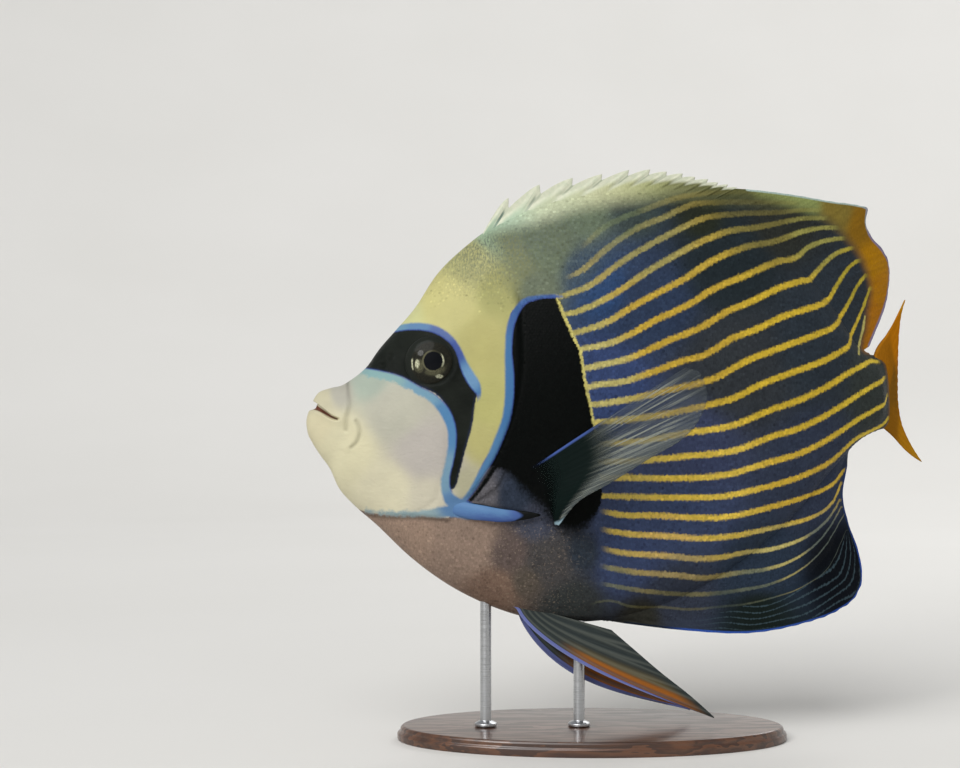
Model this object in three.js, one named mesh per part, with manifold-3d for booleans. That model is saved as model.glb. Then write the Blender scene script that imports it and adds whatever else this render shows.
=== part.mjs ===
// Emperor angelfish, an adult of 33 cm, as a life-size still model on a plain display stand.
// Frame: origin under the middle of the stand's base, +Z up, the fish facing -X and its tail turning towards +Y.
// Each piece is drawn on a straight fish first: a runs back from the snout, b to the fish's right, c up.
// The bend then carries a, b, c along the body's curved middle line.
import * as THREE from "three";
import { mergeVertices } from "three/addons/utils/BufferGeometryUtils.js";
import Module from "manifold-3d";

const wasm = await Module();
wasm.setup();

// Driving dimensions, in millimetres.
const BODY_LENGTH = 282; // snout to the end of the tail stem, along the middle line
const AXIS_HEIGHT = 155.6; // the middle line above the floor
const GAP = 0.3; // between pieces that meet
const CUT_GAP = 0.42; // the gill cut, measured along the body, which is slanted to its face

// The bend: the front of the head is straight, and the heading then turns with the cube of the distance.
const STRAIGHT_LENGTH = 45;
const TURN_LENGTH = 237;
const TAIL_TURN = THREE.MathUtils.degToRad(48); // at the end of that length
// The tail fin starts with a small kink and curls on, its upper and lower rays less than the middle ones.
const FIN_KINK = THREE.MathUtils.degToRad(12);
const FIN_TURN_PER_MM = THREE.MathUtils.degToRad(0.54);
const CUP_TOP = { reach: 47, ease: 0.45, power: 3 };
const CUP_LOW = { reach: 34, ease: 1, power: 1.5 };

const BASE = { centreA: 128, centreY: 5, halfLength: 88, halfWidth: 45, thickness: 6.5, chamfer: 1.5 };
const ROD = { radius: 2.5, sides: 16, collarRadius: 5, collarHeight: 2.2, intoBase: 3.2, intoBody: 7 };
const ROD_STATIONS = { front: 80, rear: 122 };

const GILL_FLARE = { step: 0.9, reach: 9 }; // how far the gill cover stands out over the shoulder
const GILL_FLOOR = -53.6; // the gill cover's lower edge runs level to the throat at this height
// The mouth: a slit right across the snout, open in front and closing at the corner, with lips along it.
const MOUTH = {
  slit: [[-10, -0.8], [3.2, -3.3], [8, -7.3], [13.4, -11], [7.6, -8.5], [1.6, -6], [-10, -5.6]],
  front: [0.5, -4.6],
  corner: [13.2, -10.8],
  swell: 0.9,
  reach: 2.6,
  width: 60,
};
const NOSTRILS = [[34, 13, 1.1], [37.5, 17.5, 0.9]]; // a, c and radius
const TAIL_CUT = 246;
const EYE = { a: 56.3, c: 14.2, radius: 12, depth: 5.5, sunk: 3.3, bulge: 1.4, bulgeReach: 14 };
const HEAD_END = 112; // the head and the trunk are drawn past the gill cut, and cut back to it
const TRUNK_START = 36;
const HEAD_PRISM = { front: -40, top: 96, width: 140, step: 4 };
const STEM_PRISM = { front: 200, reach: 30, width: 60, step: 4 };
const SNOUT = 12; // the skin's relief fades in over this length
const BODY_GRID = { stations: 40, power: 1.6, around: 32, clear: 2 };
const ROOT_DEPTH = 5; // how far a fin's rays start inside the body
const TAIL_SPREAD = 0.6; // the upper rays of the tail fin rise with this power of the distance

// Lines of the body: s, then the back's a and c, the belly's a and c, and the half width.
const LINES = [
  [0, 2.6, -4.3, 2.6, -4.3, 0],
  [1, 3.0, -2.0, 1.2, -6.4, 3.4],
  [3, 4.6, 0.9, -0.5, -10.5, 5.8],
  [6, 9.3, 2.9, -0.2, -16.5, 7.8],
  [10, 14.5, 4.1, 2.0, -21.5, 9.4],
  [15, 19.5, 6.9, 5.5, -27.0, 11.0],
  [21, 26.0, 12.2, 9.8, -33.0, 12.8],
  [28, 32.0, 20.5, 14.0, -42.0, 14.8],
  [36, 39.2, 28.8, 21.0, -49.8, 16.8],
  [45, 47.7, 38.6, 31.0, -58.5, 18.8],
  [56, 57.5, 53.6, 44.5, -71.5, 21.0],
  [70, 70.6, 66.6, 61.0, -84.0, 23.6],
  [86, 86.4, 77.9, 80.0, -94.0, 25.6],
  [104, 104.4, 86.0, 101.0, -100.6, 26.8],
  [125, 125, 91.0, 125, -102.0, 27.2],
  [150, 150, 92.6, 150, -98.0, 26.2],
  [177, 177, 89.0, 177, -87.4, 23.2],
  [200, 200, 81.0, 200, -73.5, 19.2],
  [222, 222, 65.0, 222, -56.0, 14.8],
  [242, 242, 44.0, 242, -36.0, 10.8],
  [258, 258, 24.6, 258, -22.6, 8.0],
  [270, 270, 18.4, 270, -17.8, 6.2],
  [282, 282, 17.8, 282, -15.8, 4.0],
];

// The free edge of the gill cover from its lower corner to the nape: c, then a.
const GILL_EDGE = [
  [-60, 57],
  [-54, 63],
  [-46, 69.5],
  [-33, 79],
  [-15, 87.5],
  [2, 92],
  [24, 93.2],
  [42, 92],
  [58, 87],
  [73, 81],
  [96, 74],
];

// The cheek spine: the share along it, then a, c, half height, half thickness and distance off the skin.
const CHEEK_SPINE = [
  [0, 56, -41.5, 3.4, 2.2, -1.6],
  [0.3, 66, -46.8, 3.6, 2.0, 0.9],
  [0.6, 78, -50.4, 2.8, 1.5, 2.2],
  [0.85, 92, -52.6, 1.8, 1.0, 2.4],
  [1, 101.5, -53.6, 0.6, 0.5, 2.2],
];

// The end of the tail stem, where the fin rays spread from: c, then a.
const STEM_END = [
  [-30, 272],
  [-17, 279],
  [-10, 281],
  [0, 280.6],
  [9, 279.4],
  [14, 277.6],
  [19, 272.5],
  [30, 260],
];

// Spines of the back fin: the base's a, then the tip's a and c.
const DORSAL_SPINES = [
  [82.5, 90.3, 88.7],
  [96.5, 104.2, 94.7],
  [109.5, 119.1, 97.7],
  [122, 132.4, 99.5],
  [133, 144.6, 101.4],
  [142, 154.2, 101.7],
  [149.5, 161.8, 100.8],
  [156.5, 169.1, 100],
  [162.5, 174.8, 98.6],
  [168, 180.9, 97.6],
  [173, 185.6, 96.2],
  [177.5, 190.3, 95.4],
  [182, 194.6, 94.2],
];

// Soft fins: the share along the fin, the root's a and c, then the margin's a and c.
const DORSAL_SOFT = [
  [0, 186.5, 86.3, 199.5, 93.5],
  [0.16, 198.5, 81.8, 221, 91.8],
  [0.32, 213, 72.6, 244, 89.4],
  [0.46, 226, 61.2, 266, 87.5],
  [0.53, 230.5, 56.5, 270.5, 75.4],
  [0.63, 237, 49.5, 281, 66.2],
  [0.72, 242.5, 43.4, 284.6, 56.8],
  [0.81, 249, 35.5, 281.6, 44.8],
  [0.91, 256.5, 26.4, 274.7, 32.8],
  [1, 263, 20.7, 267.6, 22.6],
];
const ANAL_FIN = [
  [0, 133, -101.3, 143, -103.0],
  [0.14, 147, -98.8, 168, -106.2],
  [0.32, 168, -91.4, 200, -108.4],
  [0.5, 190, -80.2, 228, -105.0],
  [0.64, 207, -68.4, 247, -100.2],
  [0.74, 219, -58.7, 258.5, -94.0],
  [0.82, 228.5, -50.0, 262.7, -84.5],
  [0.88, 236, -42.5, 259.6, -72.0],
  [0.93, 241.5, -36.4, 253.2, -59.0],
  [0.97, 246.8, -31.4, 250.0, -45.5],
  [1, 253, -26.2, 252.8, -33.0],
];
const TAIL_FIN = [
  [0, 272.5, 18, 332, 46.9],
  [0.1, 276.5, 15.2, 332, 37.5],
  [0.28, 279.4, 8.6, 332, 21],
  [0.5, 280.6, 0.8, 332, 4],
  [0.7, 281, -6.8, 332.5, -10],
  [0.9, 280, -13, 335.5, -25.5],
  [1, 278.8, -15.6, 338, -34],
];

// Paired fins, on the left: the share along the fin, the root's a and c, then the margin's a, b and c.
const PECTORAL_FIN = [
  [0, 100.5, -31, 163.5, -33, 12.2],
  [0.1, 101.6, -34, 168.6, -36, 9.6],
  [0.2, 102.7, -36.5, 170.4, -40, 1.5],
  [0.32, 104, -39.8, 167.6, -45, -7.5],
  [0.46, 105.4, -43.3, 159, -51, -18],
  [0.6, 106.8, -47, 146, -55, -26],
  [0.76, 108.3, -51, 130, -56, -36.6],
  [0.89, 109.6, -54, 117.5, -51, -45],
  [1, 110.6, -56.7, 110.2, -43, -55.5],
];
const PELVIC_FIN = [
  [0, 94, -93.6, 178, -14, -142.6],
  [0.2, 96.5, -94, 179, -15, -142.8],
  [0.4, 99.3, -94.6, 168.8, -14.5, -133.2],
  [0.6, 101.8, -95, 156.4, -13, -123],
  [0.8, 104.3, -95.6, 146, -11.5, -113.8],
  [1, 106.5, -96, 135.5, -9.5, -104.6],
];
const PELVIC_ROOT_B = -5;
const PELVIC_BOW = { left: 8, right: 15.5 }; // how far the front ray sags below the straight line to its tip
const PELVIC_DROP = { left: 0, right: 1.5 };

// A smooth curve through the rows of a table: cubic pieces whose slopes are the weighted means of the chords.
function smoothAt(rows, column, s) {
  const last = rows.length - 1;
  let i = 0;
  while (i < last - 1 && s > rows[i + 1][0]) i += 1;
  const chord = (k) => (rows[k + 1][column] - rows[k][column]) / (rows[k + 1][0] - rows[k][0]);
  const slope = (k) => {
    if (k === 0) return chord(0);
    if (k === last) return chord(last - 1);
    const before = rows[k][0] - rows[k - 1][0];
    const after = rows[k + 1][0] - rows[k][0];
    return (chord(k - 1) * after + chord(k) * before) / (before + after);
  };
  const h = rows[i + 1][0] - rows[i][0];
  const x = THREE.MathUtils.clamp((s - rows[i][0]) / h, 0, 1);
  const x2 = x * x;
  const x3 = x2 * x;
  return (
    rows[i][column] * (2 * x3 - 3 * x2 + 1) +
    rows[i + 1][column] * (3 * x2 - 2 * x3) +
    slope(i) * h * (x3 - 2 * x2 + x) +
    slope(i + 1) * h * (x3 - x2)
  );
}

// The middle line in plan, as [x, y, heading]: the integral of the heading's cosine and sine, as series.
function middleLine(a) {
  if (a <= STRAIGHT_LENGTH) return [a, 0, 0];
  const u = (a - STRAIGHT_LENGTH) / TURN_LENGTH;
  const turn = TAIL_TURN;
  const x = u - (turn ** 2 * u ** 7) / 14 + (turn ** 4 * u ** 13) / 312;
  const y = (turn * u ** 4) / 4 - (turn ** 3 * u ** 10) / 60 + (turn ** 5 * u ** 16) / 1920;
  return [STRAIGHT_LENGTH + TURN_LENGTH * x, TURN_LENGTH * y, turn * u ** 3];
}

// Past the tail stem, the fin curls on as an arc that is tightest at mid height, so the fin is cupped.
function bend(a, b, c) {
  let [x, y, heading] = middleLine(Math.min(a, BODY_LENGTH));
  if (a > BODY_LENGTH) {
    const cup = c > 0 ? CUP_TOP : CUP_LOW;
    const share = Math.min(1, Math.abs(c) / cup.reach);
    const rate = Math.max(1e-5, FIN_TURN_PER_MM * (1 - cup.ease * share ** cup.power));
    heading += FIN_KINK;
    const end = heading + rate * (a - BODY_LENGTH);
    x += (Math.sin(end) - Math.sin(heading)) / rate;
    y += (Math.cos(heading) - Math.cos(end)) / rate;
    heading = end;
  }
  const [inFrameX, inFrameY] = [x - b * Math.sin(heading), y + b * Math.cos(heading)];
  return [inFrameX - BASE.centreA, inFrameY - BASE.centreY, c + AXIS_HEIGHT];
}

// A point of the body's side outline at s, where t is -1 on the belly, 1 on the back.
function sideView(s, t) {
  const mix = (t + 1) / 2;
  return [
    THREE.MathUtils.lerp(smoothAt(LINES, 3, s), smoothAt(LINES, 1, s), mix),
    THREE.MathUtils.lerp(smoothAt(LINES, 4, s), smoothAt(LINES, 2, s), mix),
  ];
}

const ease = (low, high, x) => {
  const share = THREE.MathUtils.clamp((x - low) / (high - low), 0, 1);
  return share * share * (3 - 2 * share);
};

// Half width of the body: a lens, sharper along the back than along the belly, and rounder on the snout.
function halfWidth(s, t) {
  const sharpness = (t > 0 ? 0.5 : 0.18) * ease(8, 90, s);
  return smoothAt(LINES, 5, s) * Math.sqrt(Math.max(0, 1 - t * t)) ** (1 + sharpness);
}

function distanceToSegment(a, c, [startA, startC], [endA, endC]) {
  const [alongA, alongC] = [endA - startA, endC - startC];
  const share = ((a - startA) * alongA + (c - startC) * alongC) / (alongA ** 2 + alongC ** 2);
  const nearest = THREE.MathUtils.clamp(share, 0, 1);
  return Math.hypot(a - startA - nearest * alongA, c - startC - nearest * alongC);
}

// The skin's local relief: the swelling round the eye, the lips, and the flare of the gill cover at its edge.
function relief(a, c, gillFlare) {
  const fromEye = Math.hypot(a - EYE.a, c - EYE.c) / EYE.bulgeReach;
  const fromMouth = distanceToSegment(a, c, MOUTH.front, MOUTH.corner) / MOUTH.reach;
  const toEdge = Math.min(smoothAt(GILL_EDGE, 1, c) - a, c - GILL_FLOOR) / GILL_FLARE.reach;
  const flare = gillFlare ? GILL_FLARE.step * Math.exp(-(Math.max(0, toEdge) ** 2)) : 0;
  return EYE.bulge * Math.exp(-(fromEye ** 2)) + MOUTH.swell * Math.exp(-(fromMouth ** 2)) + flare;
}

// Half width at a place in side view, found by halving the range of s until the chord passes through it.
function halfWidthAt(a, c) {
  let low = 0;
  let high = BODY_LENGTH;
  let t = 0;
  for (let step = 0; step < 40; step += 1) {
    const s = (low + high) / 2;
    const top = smoothAt(LINES, 2, s);
    const bottom = smoothAt(LINES, 4, s);
    t = THREE.MathUtils.clamp((2 * (c - bottom)) / (top - bottom) - 1, -1, 1);
    if (sideView(s, t)[0] < a) low = s;
    else high = s;
  }
  return halfWidth(low, t) + relief(a, c, false) * Math.sqrt(1 - t * t);
}

// Geometry from lists of points and triangles.
function meshOf(points, triangles) {
  return new THREE.BufferGeometry()
    .setAttribute("position", new THREE.Float32BufferAttribute(points.flat(), 3))
    .setIndex(triangles.flat());
}

function solidOf(geometry) {
  const bare = geometry.clone();
  bare.deleteAttribute("normal");
  bare.deleteAttribute("uv");
  const merged = mergeVertices(bare, 1e-4);
  const made = new wasm.Mesh({
    numProp: 3,
    vertProperties: merged.attributes.position.array,
    triVerts: new Uint32Array(merged.index.array),
  });
  return new wasm.Manifold(made);
}

// A solid from points and triangles whose faces may all point inwards.
function outwardSolid(points, triangles) {
  const made = solidOf(meshOf(points, triangles));
  return made.volume() > 0 ? made : solidOf(meshOf(points, triangles.map((face) => face.reverse())));
}

// A solid through a row of rings with the same number of points, closed at both ends.
function ringsSolid(rings) {
  const around = rings[0].length;
  const end = (rings.length - 1) * around;
  const mean = (ring, axis) => ring.reduce((sum, point) => sum + point[axis], 0) / around;
  const middle = (ring) => [0, 1, 2].map((axis) => mean(ring, axis));
  const points = [...rings.flat(), middle(rings[0]), middle(rings.at(-1))];
  const triangles = [];
  for (let k = 0; k < around; k += 1) {
    const next = (k + 1) % around;
    for (let start = 0; start < end; start += around) {
      const [p, q] = [start + k, start + next];
      triangles.push([p, q, q + around], [p, q + around, p + around]);
    }
    triangles.push([points.length - 2, next, k], [points.length - 1, end + k, end + next]);
  }
  return outwardSolid(points, triangles);
}

// The largest closed surface of a solid, as geometry with every vertex moved by carry.
function geometryOf(solid, carry) {
  const pieces = solid.decompose().sort((one, other) => other.volume() - one.volume());
  const made = pieces[0].getMesh();
  const points = [];
  for (let i = 0; i < made.numVert; i += 1) {
    const at = made.vertProperties.subarray(i * made.numProp, i * made.numProp + 3);
    points.push(carry(at[0], at[1], at[2]));
  }
  return meshOf(points, [Array.from(made.triVerts)]);
}

const bentGeometry = (solid) => geometryOf(solid, bend);
const unbentGeometry = (solid) => geometryOf(solid, (x, y, z) => [x, y, z]);

// Stations along the body, closer together towards the snout, with one on each face of the tail stem's cut.
const TAIL_CUT_FACES = [TAIL_CUT - GAP / 2, TAIL_CUT + GAP / 2];
const gridStations = Array.from(
  { length: BODY_GRID.stations + 1 },
  (_, i) => BODY_LENGTH * (i / BODY_GRID.stations) ** BODY_GRID.power,
);
const clearOfCut = gridStations.filter((s) => Math.abs(s - TAIL_CUT) > BODY_GRID.clear);
const BODY_STATIONS = [...clearOfCut, ...TAIL_CUT_FACES].sort((one, other) => one - other);

// The body between two stations, swollen by grow.
function bodySolid({ from = 0, to = BODY_LENGTH, grow = 0, gillFlare = false }) {
  const stations = [from, ...BODY_STATIONS.filter((s) => s > from + 0.01 && s < to - 0.01), to];
  const ringAt = (s) =>
    Array.from({ length: BODY_GRID.around }, (_, k) => {
      const angle = (2 * Math.PI * k) / BODY_GRID.around;
      const [a, c] = sideView(s, Math.sin(angle));
      const raised = relief(a, c, gillFlare) * Math.abs(Math.cos(angle)) * ease(0, SNOUT, s);
      const out = halfWidth(s, Math.sin(angle)) + raised + grow;
      return [a, Math.cos(angle) * out, c + grow * Math.sin(angle)];
    });
  return ringsSolid(stations.map(ringAt));
}

// A prism across the fish from an outline in side view, as [a, c] points.
function sidePrism(outline, width) {
  const shape = new THREE.Shape(outline.map(([a, c]) => new THREE.Vector2(a, c)));
  const geometry = new THREE.ExtrudeGeometry(shape, { depth: width, bevelEnabled: false });
  return solidOf(geometry.rotateX(Math.PI / 2).translate(0, width / 2, 0));
}

// Everything in front of the gill cover's edge and above its floor, with both moved outwards by shift.
function headPrism(shift) {
  const { front, top, width, step } = HEAD_PRISM;
  const edge = [];
  for (let c = GILL_FLOOR; c <= top; c += step) edge.push([smoothAt(GILL_EDGE, 1, c) + shift, c - shift]);
  return sidePrism([[front, GILL_FLOOR - shift], ...edge, [front, top]], width);
}

// Everything in front of the tail stem's end, with the end moved back by shift.
function stemPrism(shift) {
  const { front, reach, width, step } = STEM_PRISM;
  const end = [];
  for (let c = -reach; c <= reach; c += step) end.push([smoothAt(STEM_END, 1, c) + shift, c]);
  return sidePrism([[front, -reach], ...end, [front, reach]], width);
}

function ellipsoid(centre, radii, [around, down]) {
  const geometry = new THREE.SphereGeometry(1, around, down).scale(...radii);
  return solidOf(geometry.translate(...centre));
}

// The cheek spine: a flat, tapering blade from the gill cover's lower corner, lying just off the shoulder.
function cheekSpine(side) {
  const [steps, around] = [12, 10];
  const ringAt = (_, i) => {
    const along = (column) => smoothAt(CHEEK_SPINE, column, i / steps);
    const [a, c, tall, thick, off] = [1, 2, 3, 4, 5].map(along);
    const b = halfWidthAt(a, c) + off;
    return Array.from({ length: around }, (__, k) => {
      const angle = (2 * Math.PI * k) / around;
      return [a, side * (b + thick * Math.cos(angle)), c + tall * Math.sin(angle)];
    });
  };
  return ringsSolid(Array.from({ length: steps + 1 }, ringAt));
}

const eyeCentre = (side) => [EYE.a, side * (halfWidthAt(EYE.a, EYE.c) - EYE.sunk), EYE.c];

// The eye as a shallow lens, or its socket when grown by the gap.
function eye(side, grow = 0) {
  const radii = [EYE.radius, EYE.depth, EYE.radius].map((radius) => radius + grow);
  return ellipsoid(eyeCentre(side), radii, [20, 12]);
}

// Two nostrils on each side, in front of the eye.
function nostrils(side) {
  return NOSTRILS.map(([a, c, radius]) =>
    ellipsoid([a, side * (halfWidthAt(a, c) - 0.1), c], [radius, 1.2, radius * 1.2], [8, 6]),
  );
}

function head() {
  let made = bodySolid({ to: HEAD_END, gillFlare: true }).intersect(headPrism(0));
  for (const side of [-1, 1]) {
    made = made.add(cheekSpine(side));
    made = made.subtract(eye(side, GAP));
    for (const hole of nostrils(side)) made = made.subtract(hole);
  }
  return made.subtract(sidePrism(MOUTH.slit, MOUTH.width));
}

// The rod's socket in the belly, on the straight fish.
function rodSocket(a) {
  const height = 40;
  const bottom = smoothAt(LINES, 4, a) + ROD.intoBody + GAP - height;
  const geometry = new THREE.CylinderGeometry(ROD.radius + GAP, ROD.radius + GAP, height, ROD.sides);
  return solidOf(geometry.rotateX(Math.PI / 2).translate(a, 0, bottom + height / 2));
}

function trunk() {
  const whole = bodySolid({ from: TRUNK_START, to: TAIL_CUT_FACES[0] }).subtract(headPrism(CUT_GAP));
  return whole.subtract(rodSocket(ROD_STATIONS.front)).subtract(rodSocket(ROD_STATIONS.rear));
}

const tailStem = () => bodySolid({ from: TAIL_CUT_FACES[1] }).intersect(stemPrism(0));

// A fin: a sheet of columns (rays and the membrane between them) by rows, with the same diagonals on both
// faces. place(u, v) gives a point of its middle surface and half(u, v) the half thickness there, with u
// running from the root to the margin.
function finSolid({ columns, rows, place, half }) {
  const points = [];
  const triangles = [];
  const step = 1e-3;
  const nearby = (u, v) => new THREE.Vector3(...place(u, v));
  for (const face of [1, -1]) {
    for (const v of columns) {
      for (let j = 0; j <= rows; j += 1) {
        const u = j / rows;
        const along = nearby(Math.min(1, u + step), v).sub(nearby(Math.max(0, u - step), v));
        const across = nearby(u, Math.min(1, v + step)).sub(nearby(u, Math.max(0, v - step)));
        const normal = along.cross(across).normalize();
        const at = nearby(u, v).addScaledVector(normal, face * half(u, v));
        points.push(at.toArray());
      }
    }
  }
  const row = rows + 1;
  const other = columns.length * row;
  const quad = (p, q, r, t) => triangles.push([p, q, r], [p, r, t]);
  for (let i = 0; i < columns.length - 1; i += 1) {
    for (let j = 0; j < rows; j += 1) {
      const p = i * row + j;
      quad(p, p + 1, p + row + 1, p + row);
      triangles.push([other + p, other + p + row + 1, other + p + 1]);
      triangles.push([other + p, other + p + row, other + p + row + 1]);
    }
    const root = i * row;
    const margin = i * row + rows;
    quad(root, root + row, other + root + row, other + root);
    quad(margin + row, margin, other + margin, other + margin + row);
  }
  for (let j = 0; j < rows; j += 1) {
    const end = (columns.length - 1) * row + j;
    quad(j + 1, j, other + j, other + j + 1);
    quad(end, end + 1, other + end + 1, other + end);
  }
  return outwardSolid(points, triangles);
}

// Columns of a soft fin: one on each ray and one on the membrane between two rays.
const softColumns = (rays) => Array.from({ length: 2 * rays - 1 }, (_, i) => i / (2 * rays - 2));

// 1 on a ray and 0 on the membrane between two rays.
const onRay = (rays) => (v) => Math.abs(Math.cos(Math.PI * v * (rays - 1)));

// Half thickness of a soft fin: fleshy at the root, thin at the margin, with the rays raised on both faces.
function softHalf({ rays, root, membrane, ridge, fleshTo = 0.45 }) {
  const ray = onRay(rays);
  return (u, v) => {
    const flesh = (root - membrane) * (1 - ease(0, fleshTo, u));
    return membrane + flesh + ridge * ray(v) * (1 - 0.75 * u);
  };
}

// A ray of a median fin, from inside the body out to the margin.
function medianRay(table, start = 0) {
  return (u, v) => {
    const share = start + v * (1 - start);
    const [rootA, rootC, edgeA, edgeC] = [1, 2, 3, 4].map((column) => smoothAt(table, column, share));
    const inward = ROOT_DEPTH / Math.hypot(edgeA - rootA, edgeC - rootC);
    const reach = THREE.MathUtils.lerp(-inward, 1, u);
    return [rootA + (edgeA - rootA) * reach, 0, rootC + (edgeC - rootC) * reach];
  };
}

// The spiny back fin. The margin drops steeply behind each spine and rises in a curve to the tip of the next.
const SPINE_COUNT = DORSAL_SPINES.length;
const NOTCH = { deep: 0.52, shallow: 0.17, past: 0.3 };
const backAt = (a) => smoothAt(LINES, 2, a);
const SPINY_TABLE = DORSAL_SPINES.map(([base, tipA, tipC], i) => [i, base, backAt(base), tipA, tipC]);

function notchAt(v) {
  const spine = v * (SPINE_COUNT - 1);
  const past = spine - Math.floor(spine + 1e-6);
  const depth = THREE.MathUtils.lerp(NOTCH.deep, NOTCH.shallow, ease(0, 0.65, v));
  if (past < NOTCH.past) return (depth * past) / NOTCH.past;
  return depth * ((1 - past) / (1 - NOTCH.past)) ** 1.8;
}

function spinyPlace(u, v) {
  const spine = v * (SPINE_COUNT - 1);
  const [rootA, rootC, edgeA, edgeC] = [1, 2, 3, 4].map((column) => smoothAt(SPINY_TABLE, column, spine));
  const inward = ROOT_DEPTH / Math.hypot(edgeA - rootA, edgeC - rootC);
  const reach = THREE.MathUtils.lerp(-inward, 1 - notchAt(v), u);
  return [rootA + (edgeA - rootA) * reach, 0, rootC + (edgeC - rootC) * reach];
}

function spinyHalf(u, v) {
  const spine = v * (SPINE_COUNT - 1);
  const off = Math.abs(spine - Math.round(spine));
  const stout = off < 0.05 ? 1.5 * (1 - 0.72 * u) : 0;
  return Math.max(stout, THREE.MathUtils.lerp(1.0, 0.28, ease(0, 0.5, u)));
}

function dorsalSpiny() {
  const columns = [];
  for (let i = 0; i < SPINE_COUNT - 1; i += 1) {
    for (const past of [0, 0.1, NOTCH.past, 0.62]) columns.push((i + past) / (SPINE_COUNT - 1));
  }
  columns.push(1);
  return finSolid({ columns, rows: 5, place: spinyPlace, half: spinyHalf });
}

// Where the spiny part ends, the membrane behind its last spine runs to the first soft ray, less the gap.
function dorsalLink() {
  const [base, tipA, tipC] = DORSAL_SPINES[SPINE_COUNT - 1];
  const first = DORSAL_SOFT[0];
  const table = [
    [0, base, backAt(base), tipA, tipC],
    [1, first[1] - GAP, first[2], first[3] - GAP, first[4]],
  ];
  const half = (u) => THREE.MathUtils.lerp(1.2, 0.3, ease(0, 0.5, u));
  return finSolid({ columns: [0, 0.5, 1], rows: 5, place: medianRay(table), half });
}

function dorsalSoft() {
  const rays = 20;
  const half = softHalf({ rays, root: 2.4, membrane: 0.3, ridge: 0.34 });
  return finSolid({ columns: softColumns(rays), rows: 7, place: medianRay(DORSAL_SOFT), half });
}

function analFin() {
  const rays = 20;
  const half = softHalf({ rays, root: 2.2, membrane: 0.3, ridge: 0.34 });
  return finSolid({ columns: softColumns(rays), rows: 7, place: medianRay(ANAL_FIN), half });
}

// The tail fin's rays run nearly straight from the stem's end, and the upper ones rise early.
function tailFin() {
  const rays = 17;
  const place = (u, v) => {
    const [rootA, rootC, edgeA, edgeC] = [1, 2, 3, 4].map((column) => smoothAt(TAIL_FIN, column, v));
    const inward = ROOT_DEPTH / Math.hypot(edgeA - rootA, edgeC - rootC);
    const reach = THREE.MathUtils.lerp(-inward, 1, u);
    const rise = reach > 0 ? reach ** THREE.MathUtils.lerp(TAIL_SPREAD, 1, ease(0, 0.5, v)) : reach;
    return [rootA + (edgeA - rootA) * reach, 0, rootC + (edgeC - rootC) * rise];
  };
  const flat = softHalf({ rays, root: 2.4, membrane: 0.3, ridge: 0.42, fleshTo: 0.3 });
  const half = (u, v) => flat(u, v) * THREE.MathUtils.lerp(1, 0.4, Math.abs(2 * v - 1) ** 3 * (1 - u));
  const stem = bodySolid({ grow: GAP }).intersect(stemPrism(GAP));
  return finSolid({ columns: softColumns(rays), rows: 8, place, half }).subtract(stem);
}

// A paired fin's middle surface: its rays leave the body along the skin and swing out towards the margin.
function pairedRay({ table, side, rootB, swing, inward, bow = 0 }) {
  return (u, v) => {
    const [rootA, rootC, edgeA, edgeB, edgeC] = [1, 2, 3, 4, 5].map((column) => smoothAt(table, column, v));
    const startB = rootB(rootA, rootC);
    const reach = THREE.MathUtils.lerp(-inward, 1, u);
    const out = Math.sign(reach) * Math.abs(reach) ** swing;
    const sag = bow * (1 - v) * Math.sin(Math.PI * Math.max(0, reach) ** 0.6);
    return [
      rootA + (edgeA - rootA) * reach,
      -side * (startB + (edgeB - startB) * out),
      rootC + (edgeC - rootC) * reach - sag,
    ];
  };
}

function pectoralFin(side) {
  const rays = 17;
  const rootB = (a, c) => -halfWidthAt(a, c) + 1.4;
  const place = pairedRay({ table: PECTORAL_FIN, side, rootB, swing: 1.15, inward: 0.06 });
  const half = softHalf({ rays, root: 2.3, membrane: 0.28, ridge: 0.3, fleshTo: 0.35 });
  return finSolid({ columns: softColumns(rays), rows: 8, place, half });
}

// The right pelvic fin hangs lower than the left one. Its first ray is a stout spine.
function pelvicFin(side) {
  const name = side < 0 ? "left" : "right";
  const drop = PELVIC_DROP[name];
  const table = PELVIC_FIN.map(([v, rootA, rootC, a, b, c]) => [v, rootA, rootC, a - 2 * drop, b, c - drop]);
  const rootB = () => PELVIC_ROOT_B;
  const place = pairedRay({ table, side, rootB, swing: 1, inward: 0.03, bow: PELVIC_BOW[name] });
  const soft = softHalf({ rays: 6, root: 1.5, membrane: 0.3, ridge: 0.34, fleshTo: 0.3 });
  const half = (u, v) => (v < 0.01 ? 1.3 - 0.85 * u : soft(u, v));
  return finSolid({ columns: softColumns(6), rows: 12, place, half });
}

// The stand: an oval base with two sockets, and two rods with a collar at the foot.
function standBase() {
  const { halfLength, halfWidth: halfDepth, thickness, chamfer } = BASE;
  const profile = [
    [0, 0],
    [halfLength, 0],
    [halfLength, thickness - chamfer],
    [halfLength - chamfer, thickness],
    [0, thickness],
  ].map(([radius, height]) => new THREE.Vector2(radius, height));
  const round = new THREE.LatheGeometry(profile, 48).rotateX(Math.PI / 2);
  let made = solidOf(round.scale(1, halfDepth / halfLength, 1));
  for (const a of Object.values(ROD_STATIONS)) {
    const [x, y] = bend(a, 0, 0);
    const hole = new THREE.CylinderGeometry(ROD.radius + GAP, ROD.radius + GAP, 20, ROD.sides);
    const bottom = thickness - ROD.intoBase - GAP;
    made = made.subtract(solidOf(hole.rotateX(Math.PI / 2).translate(x, y, bottom + 10)));
  }
  return made;
}

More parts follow.
